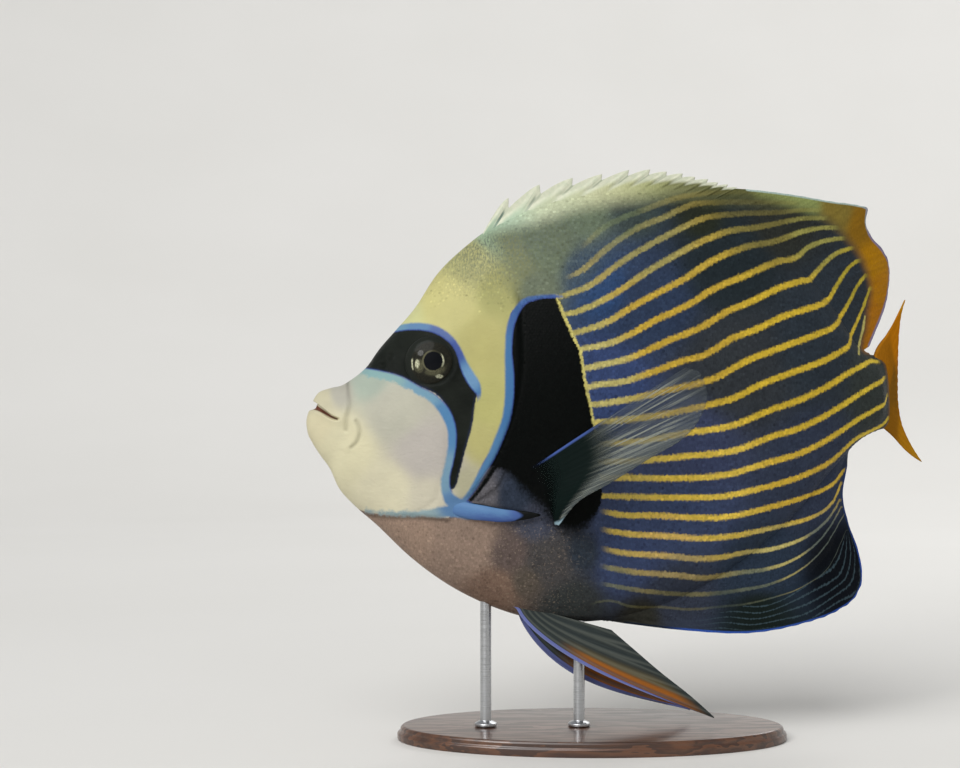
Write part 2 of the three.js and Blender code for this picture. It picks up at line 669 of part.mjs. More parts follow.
function rod(a) {
  const foot = BASE.thickness - ROD.intoBase;
  const top = AXIS_HEIGHT + smoothAt(LINES, 4, a) + ROD.intoBody;
  const seat = BASE.thickness + GAP;
  const profile = [
    [0, foot],
    [ROD.radius, foot],
    [ROD.radius, seat],
    [ROD.collarRadius, seat],
    [ROD.collarRadius, seat + ROD.collarHeight * 0.6],
    [ROD.radius + 0.8, seat + ROD.collarHeight],
    [ROD.radius, seat + ROD.collarHeight],
    [ROD.radius, top],
    [0, top],
  ].map(([radius, height]) => new THREE.Vector2(radius, height));
  return new THREE.LatheGeometry(profile, ROD.sides).rotateX(Math.PI / 2);
}

const COLOURS = {
  face: 0xcfcaa6,
  flank: 0x26305a,
  stem: 0x2c3a66,
  spines: 0xc9d3b8,
  orange: 0xc07a12,
  anal: 0x1b2733,
  pectoral: 0x56666f,
  pelvic: 0x5a6a9c,
  eye: 0x0b0c0d,
  wood: 0x3a2417,
  steel: 0xb4b6b8,
};

const object = new THREE.Group();

function addNode(name, geometry, color, roughness, metalness = 0) {
  const mesh = new THREE.Mesh(geometry, new THREE.MeshStandardMaterial({ color, roughness, metalness }));
  mesh.name = name;
  object.add(mesh);
  return mesh;
}

const grownBody = bodySolid({ grow: GAP });
const offBody = (solid) => bentGeometry(solid.subtract(grownBody));

addNode("head", bentGeometry(head()), COLOURS.face, 0.45);
addNode("trunk", bentGeometry(trunk()), COLOURS.flank, 0.45);
addNode("tail_stem", bentGeometry(tailStem()), COLOURS.stem, 0.45);
addNode("dorsal_fin_spiny", offBody(dorsalSpiny().add(dorsalLink())), COLOURS.spines, 0.5);
addNode("dorsal_fin_soft", offBody(dorsalSoft()), COLOURS.orange, 0.5);
addNode("anal_fin", offBody(analFin()), COLOURS.anal, 0.5);
addNode("tail_fin", bentGeometry(tailFin()), COLOURS.orange, 0.5);
for (const [name, side] of [["left", -1], ["right", 1]]) {
  addNode(`eye_${name}`, bentGeometry(eye(side)), COLOURS.eye, 0.08);
  addNode(`pectoral_fin_${name}`, offBody(pectoralFin(side)), COLOURS.pectoral, 0.4);
  addNode(`pelvic_fin_${name}`, offBody(pelvicFin(side)), COLOURS.pelvic, 0.45);
}
addNode("stand_base", unbentGeometry(standBase()), COLOURS.wood, 0.4);
for (const [name, a] of Object.entries(ROD_STATIONS)) {
  const [x, y] = bend(a, 0, 0);
  addNode(`stand_rod_${name}`, rod(a), COLOURS.steel, 0.3, 1).position.set(x, y, 0);
}

export default object;
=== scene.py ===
"""An adult emperor angelfish as a still model on a display stand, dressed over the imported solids.

Every piece is first worked out on a straight fish, in millimetres: a runs back from the snout, b to the
fish's right and c up from the middle line. bend() then carries it along the body's curve into the frame.
"""

import math

import bpy
import numpy as np
from bpy.props import FloatProperty, FloatVectorProperty, IntProperty, PointerProperty
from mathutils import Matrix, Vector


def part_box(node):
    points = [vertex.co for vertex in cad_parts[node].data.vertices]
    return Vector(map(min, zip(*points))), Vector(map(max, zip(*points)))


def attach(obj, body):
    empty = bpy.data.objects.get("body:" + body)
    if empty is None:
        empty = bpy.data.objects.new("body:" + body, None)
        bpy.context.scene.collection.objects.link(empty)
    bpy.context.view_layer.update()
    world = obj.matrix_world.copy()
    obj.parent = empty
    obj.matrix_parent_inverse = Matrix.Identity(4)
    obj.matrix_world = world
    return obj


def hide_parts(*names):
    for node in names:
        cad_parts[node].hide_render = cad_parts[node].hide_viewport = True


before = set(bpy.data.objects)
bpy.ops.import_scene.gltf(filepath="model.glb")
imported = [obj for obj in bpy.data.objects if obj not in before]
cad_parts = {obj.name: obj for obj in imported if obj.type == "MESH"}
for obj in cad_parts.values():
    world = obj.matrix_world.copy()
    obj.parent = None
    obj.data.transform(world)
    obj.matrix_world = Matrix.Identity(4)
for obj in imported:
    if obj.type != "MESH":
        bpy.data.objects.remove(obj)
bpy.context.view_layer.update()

bl_info = {
    "name": "Angelfish Model",
    "version": (1, 0, 0),
    "blender": (4, 5, 0),
    "location": "View3D > Sidebar > Angelfish",
    "description": "Builds the skin, scales, fins, eyes, stand and studio of a still fish model",
    "category": "Add Mesh",
}

MM = 0.001
SEED = 7
MOST_TRIANGLES = 200000
SIDES = ((-1, "left"), (1, "right"))

# The body's lines: station, the back's a and c, the belly's a and c, and the half width.
LINES = [
    (0, 2.6, -4.3, 2.6, -4.3, 0),
    (1, 3.0, -2.0, 1.2, -6.4, 3.4),
    (3, 4.6, 0.9, -0.5, -10.5, 5.8),
    (6, 9.3, 2.9, -0.2, -16.5, 7.8),
    (10, 14.5, 4.1, 2.0, -21.5, 9.4),
    (15, 19.5, 6.9, 5.5, -27.0, 11.0),
    (21, 26.0, 12.2, 9.8, -33.0, 12.8),
    (28, 32.0, 20.5, 14.0, -42.0, 14.8),
    (36, 39.2, 28.8, 21.0, -49.8, 16.8),
    (45, 47.7, 38.6, 31.0, -58.5, 18.8),
    (56, 57.5, 53.6, 44.5, -71.5, 21.0),
    (70, 70.6, 66.6, 61.0, -84.0, 23.6),
    (86, 86.4, 77.9, 80.0, -94.0, 25.6),
    (104, 104.4, 86.0, 101.0, -100.6, 26.8),
    (125, 125, 91.0, 125, -102.0, 27.2),
    (150, 150, 92.6, 150, -98.0, 26.2),
    (177, 177, 89.0, 177, -87.4, 23.2),
    (200, 200, 81.0, 200, -73.5, 19.2),
    (222, 222, 65.0, 222, -56.0, 14.8),
    (242, 242, 44.0, 242, -36.0, 10.8),
    (258, 258, 24.6, 258, -22.6, 8.0),
    (270, 270, 18.4, 270, -17.8, 6.2),
    (282, 282, 17.8, 282, -15.8, 4.0),
]
# The bend: where it starts and how long it is, the turn at the stem's end, the fin's kink and curl, and,
# above and below the middle, the height at which that curl eases off, by how much and by which power.
BODY_LENGTH = 282.0
STEM_START = 250.0
STRAIGHT_LENGTH = 45.0
TURN_LENGTH = 237.0
TAIL_TURN = math.radians(48)
FIN_KINK = math.radians(12)
FIN_TURN_PER_MM = math.radians(0.54)
CUP_TOP = (47.0, 0.45, 3.0)
CUP_LOW = (34.0, 1.0, 1.5)
AXIS_HEIGHT = 155.6
BASE_CENTRE = (128.0, 5.0)

# The studio in metres: where the camera and the lamps stand, with each lamp's power and width.
CAMERA_PLACE = (-0.0506, -0.855, 0.16055)
CAMERA_LENS = 70.83
LIGHTS = (
    ("SUN", "soft sky", (-0.7, -1.2, 1.5), 2.3, math.radians(50)),
    ("AREA", "key", (-0.75, -1.1, 0.75), 6.0, 0.35),
    ("AREA", "rim", (0.7, 1.3, 1.2), 6.0, 0.7),
)
FLOOR_FLAT = 1.4

# The gill cover's free edge as c and a, the level of its lower edge as a and c, and the stem's end as c
# and a.
GILL_EDGE = [
    (-60, 57.5), (-54, 63.5), (-46, 70.7), (-33, 80.5), (-15, 89), (2, 93.6), (24, 94.7), (42, 93.2),
    (58, 87), (73, 81), (96, 74),
]
GILL_FLOOR = [
    (0, -50.2), (20, -50.8), (28, -52.4), (38, -53.2), (50, -53.0), (60, -53.8), (110, -53.6),
]
STEM_END = [
    (-30, 272), (-17, 279), (-10, 281), (0, 280.6), (9, 279.4), (14, 277.6), (19, 272.5), (30, 260),
]
# The share along the cheek spine, a, c, half height, half thickness and distance out from the lens.
CHEEK_SPINE = [
    (0, 56, -46.5, 1.2, 1.2, -3.4),
    (0.1, 61, -48, 2.6, 1.2, -2.9),
    (0.2, 66, -49.2, 3.6, 1.6, -1.5),
    (0.28, 69.5, -49.9, 3.8, 1.8, -0.7),
    (0.36, 73, -50.7, 3.8, 1.9, 0.1),
    (0.5, 79, -51.4, 3.5, 1.8, 1.6),
    (0.7, 87, -52.4, 3.0, 1.4, 2.2),
    (0.84, 93.5, -52.5, 2.3, 1.0, 2.4),
    (0.93, 98.5, -52.4, 1.6, 0.7, 2.4),
    (1, 103.5, -52.3, 0.4, 0.3, 2.2),
]
EYE = {"a": 56.3, "c": 14.2, "radius": 12.0, "depth": 5.5, "sunk": 3.3, "swell": 1.4}
PUPIL = (0.6, 0.8)
ROOT_DEPTH = 5.0

# A scale: each corner's share of its length, height and lift, the last below the skin.
PLATE = [
    (-0.95, 0.5, -0.15), (-0.95, -0.5, -0.15), (0.1, -0.86, 0.25), (0.78, -0.6, 0.75), (1.08, 0, 1.0),
    (0.78, 0.6, 0.75), (0.1, 0.86, 0.25), (0.0, 0.0, -3.2),
]
PLATE_SHARES = (0.62, 0.66, 1.0)
# Where scales stand: from and to in a and c, the split between pieces, the crown's start and fringe, and
# the widths left bare at edges.
SCALED_A = (20, 279)
SCALED_C = (-102, 94)
FLANK_SPLIT = 150
CROWN = {"a": 50, "c": 45, "full": 50, "ragged": 9}
BARE = {"gill": 1.6, "nape": 1.2, "stem": 2.5, "mask": 2.2}
BAKE_SPAN = (300, 220)
RAY_POINTS = 8

# The back fin's start and its spines: the base's a, then the tip's a and c.
DORSAL_START = (74.0, 78.0, 84.0)
FIRST_LOBE = -0.35
DORSAL_SPINES = [
    (82.5, 90.3, 88.7), (96.5, 104.2, 94.7), (109.5, 119.1, 97.7), (122, 132.4, 99.5),
    (133, 144.6, 101.4), (142, 154.2, 101.7), (149.5, 161.8, 100.8), (156.5, 169.1, 100),
    (162.5, 174.8, 98.6), (168, 180.9, 97.6), (173, 185.6, 96.2), (177.5, 190.3, 95.4),
    (182, 194.6, 94.2),
]
# Fins: the share along the fin, the root's a and c, then the margin's a and c.
DORSAL_SOFT = [
    (-0.07, 181.5, 87.8, 193.2, 93.7),
    (0, 186.5, 86.3, 199.5, 93.5),
    (0.16, 198.5, 81.8, 221, 91.8),
    (0.32, 213, 72.6, 244, 89.4),
    (0.43, 223.4, 63.8, 260.5, 88.4),
    (0.46, 226, 61.2, 266.6, 87.5),
    (0.485, 227.5, 59.6, 265.2, 82.3),
    (0.53, 230.5, 56.5, 268.4, 75.2),
    (0.58, 233.8, 53, 277.4, 69.3),
    (0.64, 237.6, 48.8, 284, 63.4),
    (0.70, 241.3, 44.7, 286.4, 57.6),
    (0.77, 246.2, 39.2, 283.7, 48.8),
    (0.85, 252, 32, 279.2, 39.6),
    (0.93, 258.3, 24.6, 272, 29.2),
    (1, 263, 20.7, 267.6, 22.6),
]
ANAL_FIN = [
    (0, 133, -101.3, 143, -103.0),
    (0.14, 147, -98.8, 168, -106.2),
    (0.32, 168, -91.4, 200, -108.4),
    (0.5, 190, -80.2, 228, -105.0),
    (0.64, 207, -68.4, 247, -100.2),
    (0.74, 219, -58.7, 258.5, -94.0),
    (0.82, 228.5, -50.0, 262.7, -84.5),
    (0.88, 236, -42.5, 259.6, -72.0),
    (0.93, 241.5, -36.4, 253.2, -59.0),
    (0.97, 246.8, -31.4, 250.0, -45.5),
    (1, 253, -26.2, 252.8, -33.0),
]
TAIL_FIN = [
    (0, 272.5, 18, 332, 46.9),
    (0.1, 276.5, 15.2, 332, 37.5),
    (0.28, 279.4, 8.6, 332, 21),
    (0.5, 280.6, 0.8, 332, 4),
    (0.7, 281, -6.8, 332.5, -10),
    (0.9, 280, -13, 335.5, -25.5),
    (1, 278.8, -15.6, 338, -34),
]
# Paired fins: the share along the fin, the root's a and c, then the margin's a, b and c.
PECTORAL_FIN = [
    (0, 100.5, -31, 163.5, -33, 12.2),
    (0.1, 101.6, -34, 168.6, -36, 9.6),
    (0.2, 102.7, -36.5, 170.4, -40, 1.5),
    (0.32, 104, -39.8, 167.6, -45, -7.5),
    (0.46, 105.4, -43.3, 159, -51, -18),
    (0.6, 106.8, -47, 146, -55, -26),
    (0.76, 108.3, -51, 130, -56, -36.6),
    (0.89, 109.6, -54, 117.5, -51, -45),
    (1, 110.6, -56.7, 110.2, -43, -55.5),
]
PELVIC_FIN = [
    (0, 94, -95.8, 178, -14, -142.6),
    (0.2, 96.5, -96, 179, -15, -142.8),
    (0.4, 99.3, -96.3, 168.8, -14.5, -133.2),
    (0.6, 101.8, -96.5, 156.4, -13, -123),
    (0.8, 104.3, -96.6, 146, -11.5, -113.8),
    (1, 106.5, -96.8, 135.5, -9.5, -104.6),
]
PELVIC_ROOT_B = -5.0
PELVIC_BOW = {"left": 8.0, "right": 15.5}
PELVIC_DROP = {"left": 0.0, "right": 1.5}

# The flank's stripes from the back down: half width, strength, and points along the middle as a and c.
STRIPES = [
    (1.3, 0.38, [
        (121.2, 65), (132.1, 74.5), (141, 79.2), (151.3, 83.3), (166.6, 88.9), (176.3, 90.8), (205, 92.4),
    ]),
    (1.3, 0.65, [
        (114.6, 51.5), (122.5, 55.6), (131.1, 63.4), (145.9, 73.9), (158.7, 79.4), (168.1, 84),
        (172.8, 85.8), (185, 87.1), (205.3, 87.7), (224, 88),
    ]),
    (1.3, 0.9, [
        (110, 42.4), (117, 45), (124.5, 48), (129.6, 51.5), (133.7, 54.9), (147.8, 64.5), (160.6, 71.6),
        (178.1, 79.7), (192.2, 81.8), (212.7, 83.2), (228, 84.8), (236, 85),
    ]),
    (1.35, 1.0, [
        (112, 35.2), (118, 36.3), (124.1, 38.6), (134.8, 44.2), (150.9, 55.2), (159.4, 60.3), (171.5, 67),
        (178.5, 70.2), (187.7, 73.5), (203.6, 76.1), (215.5, 78.7), (225.5, 80.7), (240, 81.6),
    ]),
    (1.4, 1.0, [
        (115, 26.5), (119, 27.5), (125.6, 29.5), (132, 32.1), (143.1, 39), (158.6, 47.5), (168, 52.9),
        (174.9, 57.6), (195.5, 66.6), (212.4, 70.1), (226.2, 74.7), (236.9, 76.9), (246, 77.4),
    ]),
    (1.4, 1.0, [
        (117.5, 19.7), (124, 20.8), (134.2, 23.2), (142.8, 27.3), (152.6, 33), (166.1, 39.4),
        (178.5, 47.1), (192.4, 53), (211.1, 60.5), (223.7, 63.6), (228.5, 67.3), (234.4, 69.7),
        (242, 71.6), (250, 72.6),
    ]),
    (1.4, 1.0, [
        (118, 10.6), (128.3, 13.1), (140.7, 16.1), (157.1, 23.6), (172.3, 30.1), (184.8, 37.5),
        (193.5, 41), (210.1, 48.3), (222.4, 51.8), (229.6, 53.4), (233, 56.3), (237.6, 60.3), (244.9, 65),
        (255.2, 68.3),
    ]),
    (1.4, 1.0, [
        (119.5, 2.3), (127, 4.4), (138.8, 6.1), (149.3, 9.6), (164.6, 15.3), (172.1, 17.3), (186.9, 25.7),
        (194.8, 28.5), (211.1, 35.5), (223.9, 39.1), (235, 42.2), (240, 44.5), (243.5, 49), (247.8, 53.9),
        (254.2, 59.7), (259.8, 62.6),
    ]),
    (1.4, 1.0, [
        (121, -4.5), (131, -3.4), (148.5, -0.1), (158.3, 2.4), (177.5, 7.5), (190.9, 14.6), (213.4, 23),
        (228.9, 27.9), (240, 31.8), (244, 34.2), (248, 38), (254, 45), (259.1, 51.1), (264.6, 55.8),
    ]),
    (1.4, 1.0, [
        (122, -12.3), (136, -11), (150, -9.3), (162.5, -7), (173.5, -4.6), (186.3, -1.2), (196.9, 4),
        (213.1, 10), (228, 14.7), (240, 19.4), (247.5, 22.8), (251.5, 26.5), (256.2, 32), (263.5, 42),
        (268, 50),
    ]),
    (1.4, 1.0, [
        (123, -21.4), (135, -20.8), (150, -19.5), (163, -16.9), (187.1, -12.9), (201.6, -7.2),
        (219.2, -1.5), (235.8, 5.5), (245.2, 10), (257.8, 14), (264, 15.6), (271.5, 15.4),
    ]),
    (1.4, 1.0, [
        (125, -29.3), (150, -28.2), (165, -26.8), (187.4, -24.3), (205.8, -18), (213.4, -16.2),
        (227.8, -11), (242, -4.5), (255.9, 1.8), (275.5, 8.1),
    ]),
    (1.4, 1.0, [
        (127, -36), (141.3, -36), (157.6, -36.5), (185.7, -34.8), (200.7, -30.7), (220.9, -25.6),
        (235.7, -19.5), (253.1, -11.1), (265.3, -6.6), (275.1, -2.8), (278, -0.3),
    ]),
    (1.35, 1.0, [
        (129, -44), (162.5, -45), (183, -44.8), (196.6, -42.4), (222.9, -36.1), (238.9, -30.2),
        (253.9, -20.6), (265, -17.2), (276, -13.6), (280, -11),
    ]),
    (1.35, 1.0, [
        (129.3, -50.6), (138, -52.4), (153.8, -52.9), (168.8, -54.1), (184.4, -54.2), (191.9, -53.2),
        (207, -50.2), (223.4, -46.9), (237.2, -43.6), (245, -40), (251, -35),
    ]),
    (1.35, 0.95, [
        (129.6, -58.8), (137.2, -60.3), (158.1, -62.2), (175.2, -63.6), (187.4, -63.2), (203, -61),
        (219.3, -58.8), (233.4, -55.3), (240.5, -51.8), (245.5, -47), (249, -41),
    ]),
    (1.35, 0.85, [
        (130, -67.2), (134.2, -68.4), (158.8, -71.2), (175.4, -73), (182.1, -72.9), (197.1, -71),
        (208, -70.5), (216, -69), (225.5, -66.2), (234.3, -61.9), (242, -56), (248, -49),
    ]),
    (1.3, 0.75, [
        (129.5, -75.3), (137.2, -77), (145.1, -78.3), (166.9, -80.7), (173.7, -81.9), (184, -81.9),
        (194.3, -80.6), (209.8, -79), (220, -76.2), (228.5, -72.2), (236.5, -66.5), (244, -58.5),
        (249, -52),
    ]),
    (1.05, 0.6, [
        (130, -83.3), (144.1, -86.2), (158, -88.4), (173.3, -89.9), (184, -89.7), (195, -88.6),
        (211.3, -86), (224.7, -80.8), (233, -75.5), (240.5, -68.5), (246, -61.5), (251, -55),
    ]),
    (0.6, 0.34, [
        (126.2, -93), (132.8, -91.4), (137.3, -92), (142.5, -94), (159.1, -95.4), (173.9, -96.8),
        (184.1, -96), (198.4, -95), (212, -92.5), (228.5, -87.5), (243, -78), (252, -63),
    ]),
]
STRIPE_FADE = 6.0
MIN_STRIPE_STEP = 1.2
OUTER_STRIPE_STEP = 9.0
CONTOURS = 5

# Outlines of the head's marks, as a and c.
MASK = [
    (20, 11), (26, 11.5), (34, 10.5), (42, 8.5), (50.5, 4), (58, 0.5), (62.5, -4.5), (66, -13.5),
    (66.5, -18), (64.8, -28), (63.4, -36), (64.2, -41.8), (65.8, -41), (68.5, -33.5), (71, -24),
    (74, -13), (75.5, -2), (76.5, 2.5), (76, 5), (73, 8), (70.5, 12.5), (68.5, 17.5), (66.5, 22),
    (63, 25.5), (57.5, 29), (51, 30.5), (40.5, 30), (30, 30), (18, 24),
]
PATCH = [
    (91, 36), (97, 41), (104, 43), (110.5, 43.5), (114, 34), (118, 25), (120.5, 19), (121.5, 12),
    (123, 3), (124.5, -4), (125.5, -10.5), (128, -30), (129, -48), (120, -60), (110, -58), (103, -50),
    (96, -42), (88, -33), (80, -30), (82, -26.5), (85.6, -18), (88.4, -10), (89.8, 0), (89.6, 20),
]
# Blue lines: a, c and half width at each point.
MUZZLE_LINE = [
    (24, 11.2, 1.2), (34, 9, 1.6), (42, 6.7, 1.7), (50, 2.4, 1.7), (57, -1.7, 2), (62.3, -8, 2.3),
    (64.9, -15, 2), (65, -22, 1.9), (63.9, -29, 1.8), (62.3, -36, 1.9), (62.3, -41, 2.1),
    (64, -45.3, 2.8), (67.5, -48.4, 3.4), (72.5, -50.4, 3.4),
]
BROW_LINE = [
    (36, 29, 1.3), (40.5, 30, 1.5), (51, 30.5, 1.7), (57.5, 29.2, 1.7), (63, 26, 1.6), (66.8, 22, 1.4),
    (69, 17.5, 1.5), (70.8, 12.5, 2), (73.2, 8, 2.4), (75.6, 4, 2.2), (77, 0.5, 1.0), (76.6, -3, 0.1),
]
GILL_LINE = [
    (113, 43.5, 0.6), (104, 43.3, 0.9), (97, 41.5, 1.3), (91.5, 33.5, 1.6), (89.6, 20, 1.6), (90, 9, 2),
    (89.8, -2, 2), (88.5, -10.5, 1.9), (85.7, -18.3, 1.9), (82.3, -26.3, 1.8), (78, -34, 1.6),
    (75, -39.5, 1.4), (72, -44, 1.2), (69, -47.5, 1.2),
]
RIM_LINE = [
    (27, -51.8, 0.3), (38, -52.6, 0.7), (50, -52.3, 1.2), (58, -51.8, 2.2), (66, -50.8, 3),
    (72, -51.6, 3.2),
]
BLUE_LINES = [MUZZLE_LINE, BROW_LINE, GILL_LINE, RIM_LINE]
# The painted shadow behind the gill cover's edge, and the crease of the fold behind it, which is sunk
# in the skin and painted darker as shade.
GILL_SHADOW = [
    (93.5, -4, 0.4), (92, -12, 0.7), (89.2, -20, 0.9), (85.6, -28, 0.9), (81.2, -35.5, 0.9),
    (77.4, -41, 0.8), (73.6, -45.6, 0.7), (71, -48.1, 0.4),
]
GILL_CREASE = [(77, -46, 0), (79.5, -44.6, 0), (84.7, -40.6, 0), (87.3, -36.1, 0), (88.6, -31.7, 0)]
PALE_BARS = [
    [(110.5, 43.5, 0.5), (114, 34, 0.6), (118, 25, 0.5), (120.5, 19, 0.55), (121.5, 12, 0.5),
     (123, 3, 0.5), (124.5, -4, 0.45), (126, -12, 0.35), (128, -30, 0.1)],
    [(255, 19, 0.7), (260, 25.5, 0.8), (263.5, 33.5, 0.8), (264, 36.5, 0.5)],
]
MOUTH = [
    (-1, -4.4, 1.7), (3, -5.1, 1.1), (5.5, -6.3, 0.65), (8.5, -8, 0.4), (11, -9.6, 0.25),
    (14, -10.7, 0.1),
]
MOUTH_DEPTH = 2.6
LIP_GROOVE = [(17.8, 6.5), (18.9, 0), (19.5, -4.5), (18.5, -10), (18, -15.4)]
CHEEK_FOLD = [(22.7, -11.5), (24.2, -14.4), (24, -18.9), (22.7, -21.4), (20.4, -23.2)]
PREOPERCLE = [(59.5, -6), (62.5, -13), (63.5, -20), (62.5, -30), (60.5, -38), (58, -46), (50, -51.5)]
NOSTRILS = [(34, 13, 1.1), (37.5, 17.5, 0.9)]


def srgb(red, green, blue):
    """A colour of 0 to 255 in each channel as linear light: the usual display curve, undone."""
    share = np.array([red, green, blue]) / 255
    return tuple(np.where(share <= 0.04045, share / 12.92, ((share + 0.055) / 1.055) ** 2.4))


# Soft zones of colour: a, c, reach and colour. A point takes the mean of the zones by nearness.
HEAD_ZONES = {
    "upper lip": (5, -2, 8, 186, 180, 153),
    "lower lip": (5, -14, 8, 202, 194, 162),
    "beak": (15, 1, 6, 168, 165, 152),
    "nose": (28, 6, 8, 160, 170, 156),
    "chin": (18, -24, 13, 204, 198, 166),
    "cheek": (40, -8, 13, 178, 176, 160),
    "rear cheek": (52, -24, 13, 176, 170, 162),
    "jaw": (36, -40, 11, 206, 200, 172),
    "jaw corner": (54, -44, 8, 192, 186, 166),
    "brow": (44, 36, 9, 186, 186, 134),
    "forehead": (62, 42, 13, 186, 180, 122),
    "band top": (78, 24, 10, 172, 166, 108),
    "band": (82, -4, 9, 172, 168, 108),
    "low band": (78, -20, 7, 172, 166, 110),
    "band foot": (71.5, -38, 5, 168, 164, 136),
    "crown": (72, 60, 11, 164, 162, 112),
    "band nape": (86, 46, 10, 156, 154, 98),
    "nape": (84, 74, 10, 146, 168, 140),
}
LINE_ZONES = {
    "muzzle top": (34, 10, 9, 124, 156, 156),
    "muzzle corner": (52, 2, 7, 110, 146, 166),
    "cheek": (64, -14, 9, 78, 122, 162),
    "low cheek": (62.5, -34, 8, 108, 140, 160),
    "junction": (66, -47, 5, 86, 120, 158),
    "rim": (46, -52, 9, 136, 156, 160),
    "brow front": (38, 29, 6, 100, 136, 158),
    "brow top": (50, 31, 5, 92, 124, 158),
    "brow rear": (60, 27, 5, 82, 100, 146),
    "brow side": (67, 20, 4, 64, 82, 140),
    "brow corner": (73.5, 7, 5, 102, 138, 172),
    "gill top": (96, 41, 9, 62, 92, 142),
    "gill": (90, 5, 14, 64, 106, 150),
    "low gill": (80, -30, 10, 74, 114, 152),
}
BODY_ZONES = {
    "behind nape": (92, 58, 12, 120, 124, 88),
    "nape side": (106, 66, 13, 96, 106, 82),
    "over patch": (102, 48, 8, 98, 106, 86),
    "under back": (122, 80, 8, 92, 104, 82),
    "under top": (146, 80, 7, 50, 60, 58),
    "under top rear": (176, 78, 8, 36, 40, 30),
    "dorsal middle": (215, 75, 10, 42, 44, 40),
    "shoulder": (122, 56, 9, 52, 68, 84),
    "high flank": (132, 46, 12, 38, 62, 98),
    "front flank": (130, 6, 16, 50, 64, 100),
    "middle flank": (150, 40, 18, 42, 54, 76),
    "high rear flank": (185, 56, 18, 32, 40, 44),
    "behind fin": (165, -22, 20, 60, 68, 96),
    "rear flank": (190, 12, 24, 48, 52, 56),
    "stem front": (225, 20, 22, 42, 50, 58),
    "tail stem": (262, 4, 16, 48, 54, 52),
    "low rear flank": (225, -30, 20, 48, 56, 74),
    "low flank": (160, -50, 18, 58, 70, 100),
    "belly side": (140, -70, 14, 58, 70, 102),
    "low belly": (165, -88, 12, 52, 58, 72),
    "belly foot": (150, -99, 8, 50, 50, 44),
    "anal fin": (205, -78, 14, 40, 52, 68),
    "anal margin": (205, -99, 11, 22, 30, 28),
    "anal rear": (246, -78, 12, 10, 14, 20),
    "throat": (44, -60, 10, 150, 128, 112),
    "breast": (72, -66, 12, 142, 122, 108),
    "low breast": (84, -86, 10, 120, 98, 84),
    "mid breast": (90, -70, 9, 92, 80, 76),
    "breast rear": (98, -82, 8, 86, 78, 70),
    "fore belly": (108, -74, 13, 70, 68, 68),
    "belly": (118, -92, 11, 54, 58, 58),
    "gill fold": (80, -43, 6, 94, 92, 96),
    "fin foot": (92, -44, 8, 44, 52, 66),
    "under fin": (102, -56, 8, 68, 72, 86),
    "flank foot": (122, -70, 9, 46, 54, 64),
}
# The pale band along the back: a, the level of its full strength, its depth below that, and its colour.
BACK_TINT = [(*row[:3], *srgb(*row[3:])) for row in (
    (70, 68, 4, 150, 156, 124), (80, 75, 7, 158, 178, 152), (92, 79.5, 10, 172, 190, 164),
    (104, 82.5, 11, 182, 190, 160), (118, 87.5, 11, 182, 187, 154), (130, 91, 12, 178, 180, 144),
    (145, 93.5, 12, 168, 170, 128), (157, 95, 12, 144, 147, 102), (168, 96, 13, 120, 122, 82),
    (182, 96, 14, 96, 98, 60), (200, 95, 14, 88, 90, 56), (225, 91, 10, 104, 106, 68),
    (250, 88, 8, 110, 108, 66),
)]
# The stripe zones near the back are darker as painted shade, the light falling off towards the top.
STRIPE_ZONES = {
    "top start": (118, 36, 10, 156, 146, 84),
    "start": (126, 10, 16, 172, 162, 100),
    "low start": (140, -30, 14, 196, 174, 86),
    "middle": (165, 24, 22, 178, 148, 54),
    "rear": (215, 14, 26, 198, 168, 52),
    "stem": (262, 2, 16, 210, 182, 58),
    "low middle": (175, -38, 20, 218, 188, 76),
    "low rear": (220, -42, 18, 206, 172, 60),
    "low": (160, -62, 9, 210, 178, 94),
    "lower": (165, -76, 8, 180, 160, 102),
    "lower rear": (215, -70, 12, 200, 186, 112),
    "lowest": (165, -94, 9, 126, 120, 76),
    "lowest start": (132, -90, 8, 128, 130, 94),
    "anal rear": (240, -68, 12, 104, 114, 106),
    "anal low": (205, -86, 9, 112, 118, 96),
    "anal lowest": (190, -96, 7, 84, 92, 78),
    "upper": (150, 66, 12, 142, 134, 80),
    "uppermost": (140, 78, 8, 110, 122, 84),
    "upper rear": (205, 78, 12, 112, 104, 56),
    "upper end": (236, 76, 12, 140, 136, 72),
    "fin rear": (256, 56, 10, 170, 154, 52),
}
DORSAL_ZONES = {
    "front": (226, 89, 8, 130, 140, 84),
    "top": (248, 86, 8, 122, 106, 48),
    "corner": (262, 80, 8, 134, 98, 24),
    "rear": (272, 62, 9, 168, 118, 12),
    "lobe": (277, 52, 8, 170, 114, 10),
    "foot": (270, 34, 8, 162, 104, 16),
}
# The darker zones across the middle of the tail fin, with the streak above them, are painted shade of the
# fin turned away; its own colour is an even orange-yellow.
TAIL_ZONES = {
    "upper tip": (328, 42, 7, 190, 136, 26),
    "upper edge": (302, 29, 9, 192, 120, 20),
    "upper root": (284, 14, 6, 158, 102, 22),
    "shaded streak": (316, 22, 6, 172, 102, 22),
    "middle root": (292, 2, 8, 130, 90, 30),
    "middle": (318, 2, 10, 146, 96, 24),
    "lower root": (292, -11, 6, 146, 98, 26),
    "lower lobe": (320, -20, 8, 178, 122, 26),
    "lower tip": (335, -31, 6, 182, 130, 28),
}
ORANGE_FRONT = [
    (205, 93), (224, 88), (232, 85.5), (242, 81.5), (249, 77), (254, 73), (259, 69), (264, 63.5),
    (267.5, 57), (270, 49), (268, 40), (266, 30), (262, 21), (300, 10), (300, 110), (205, 110),
]
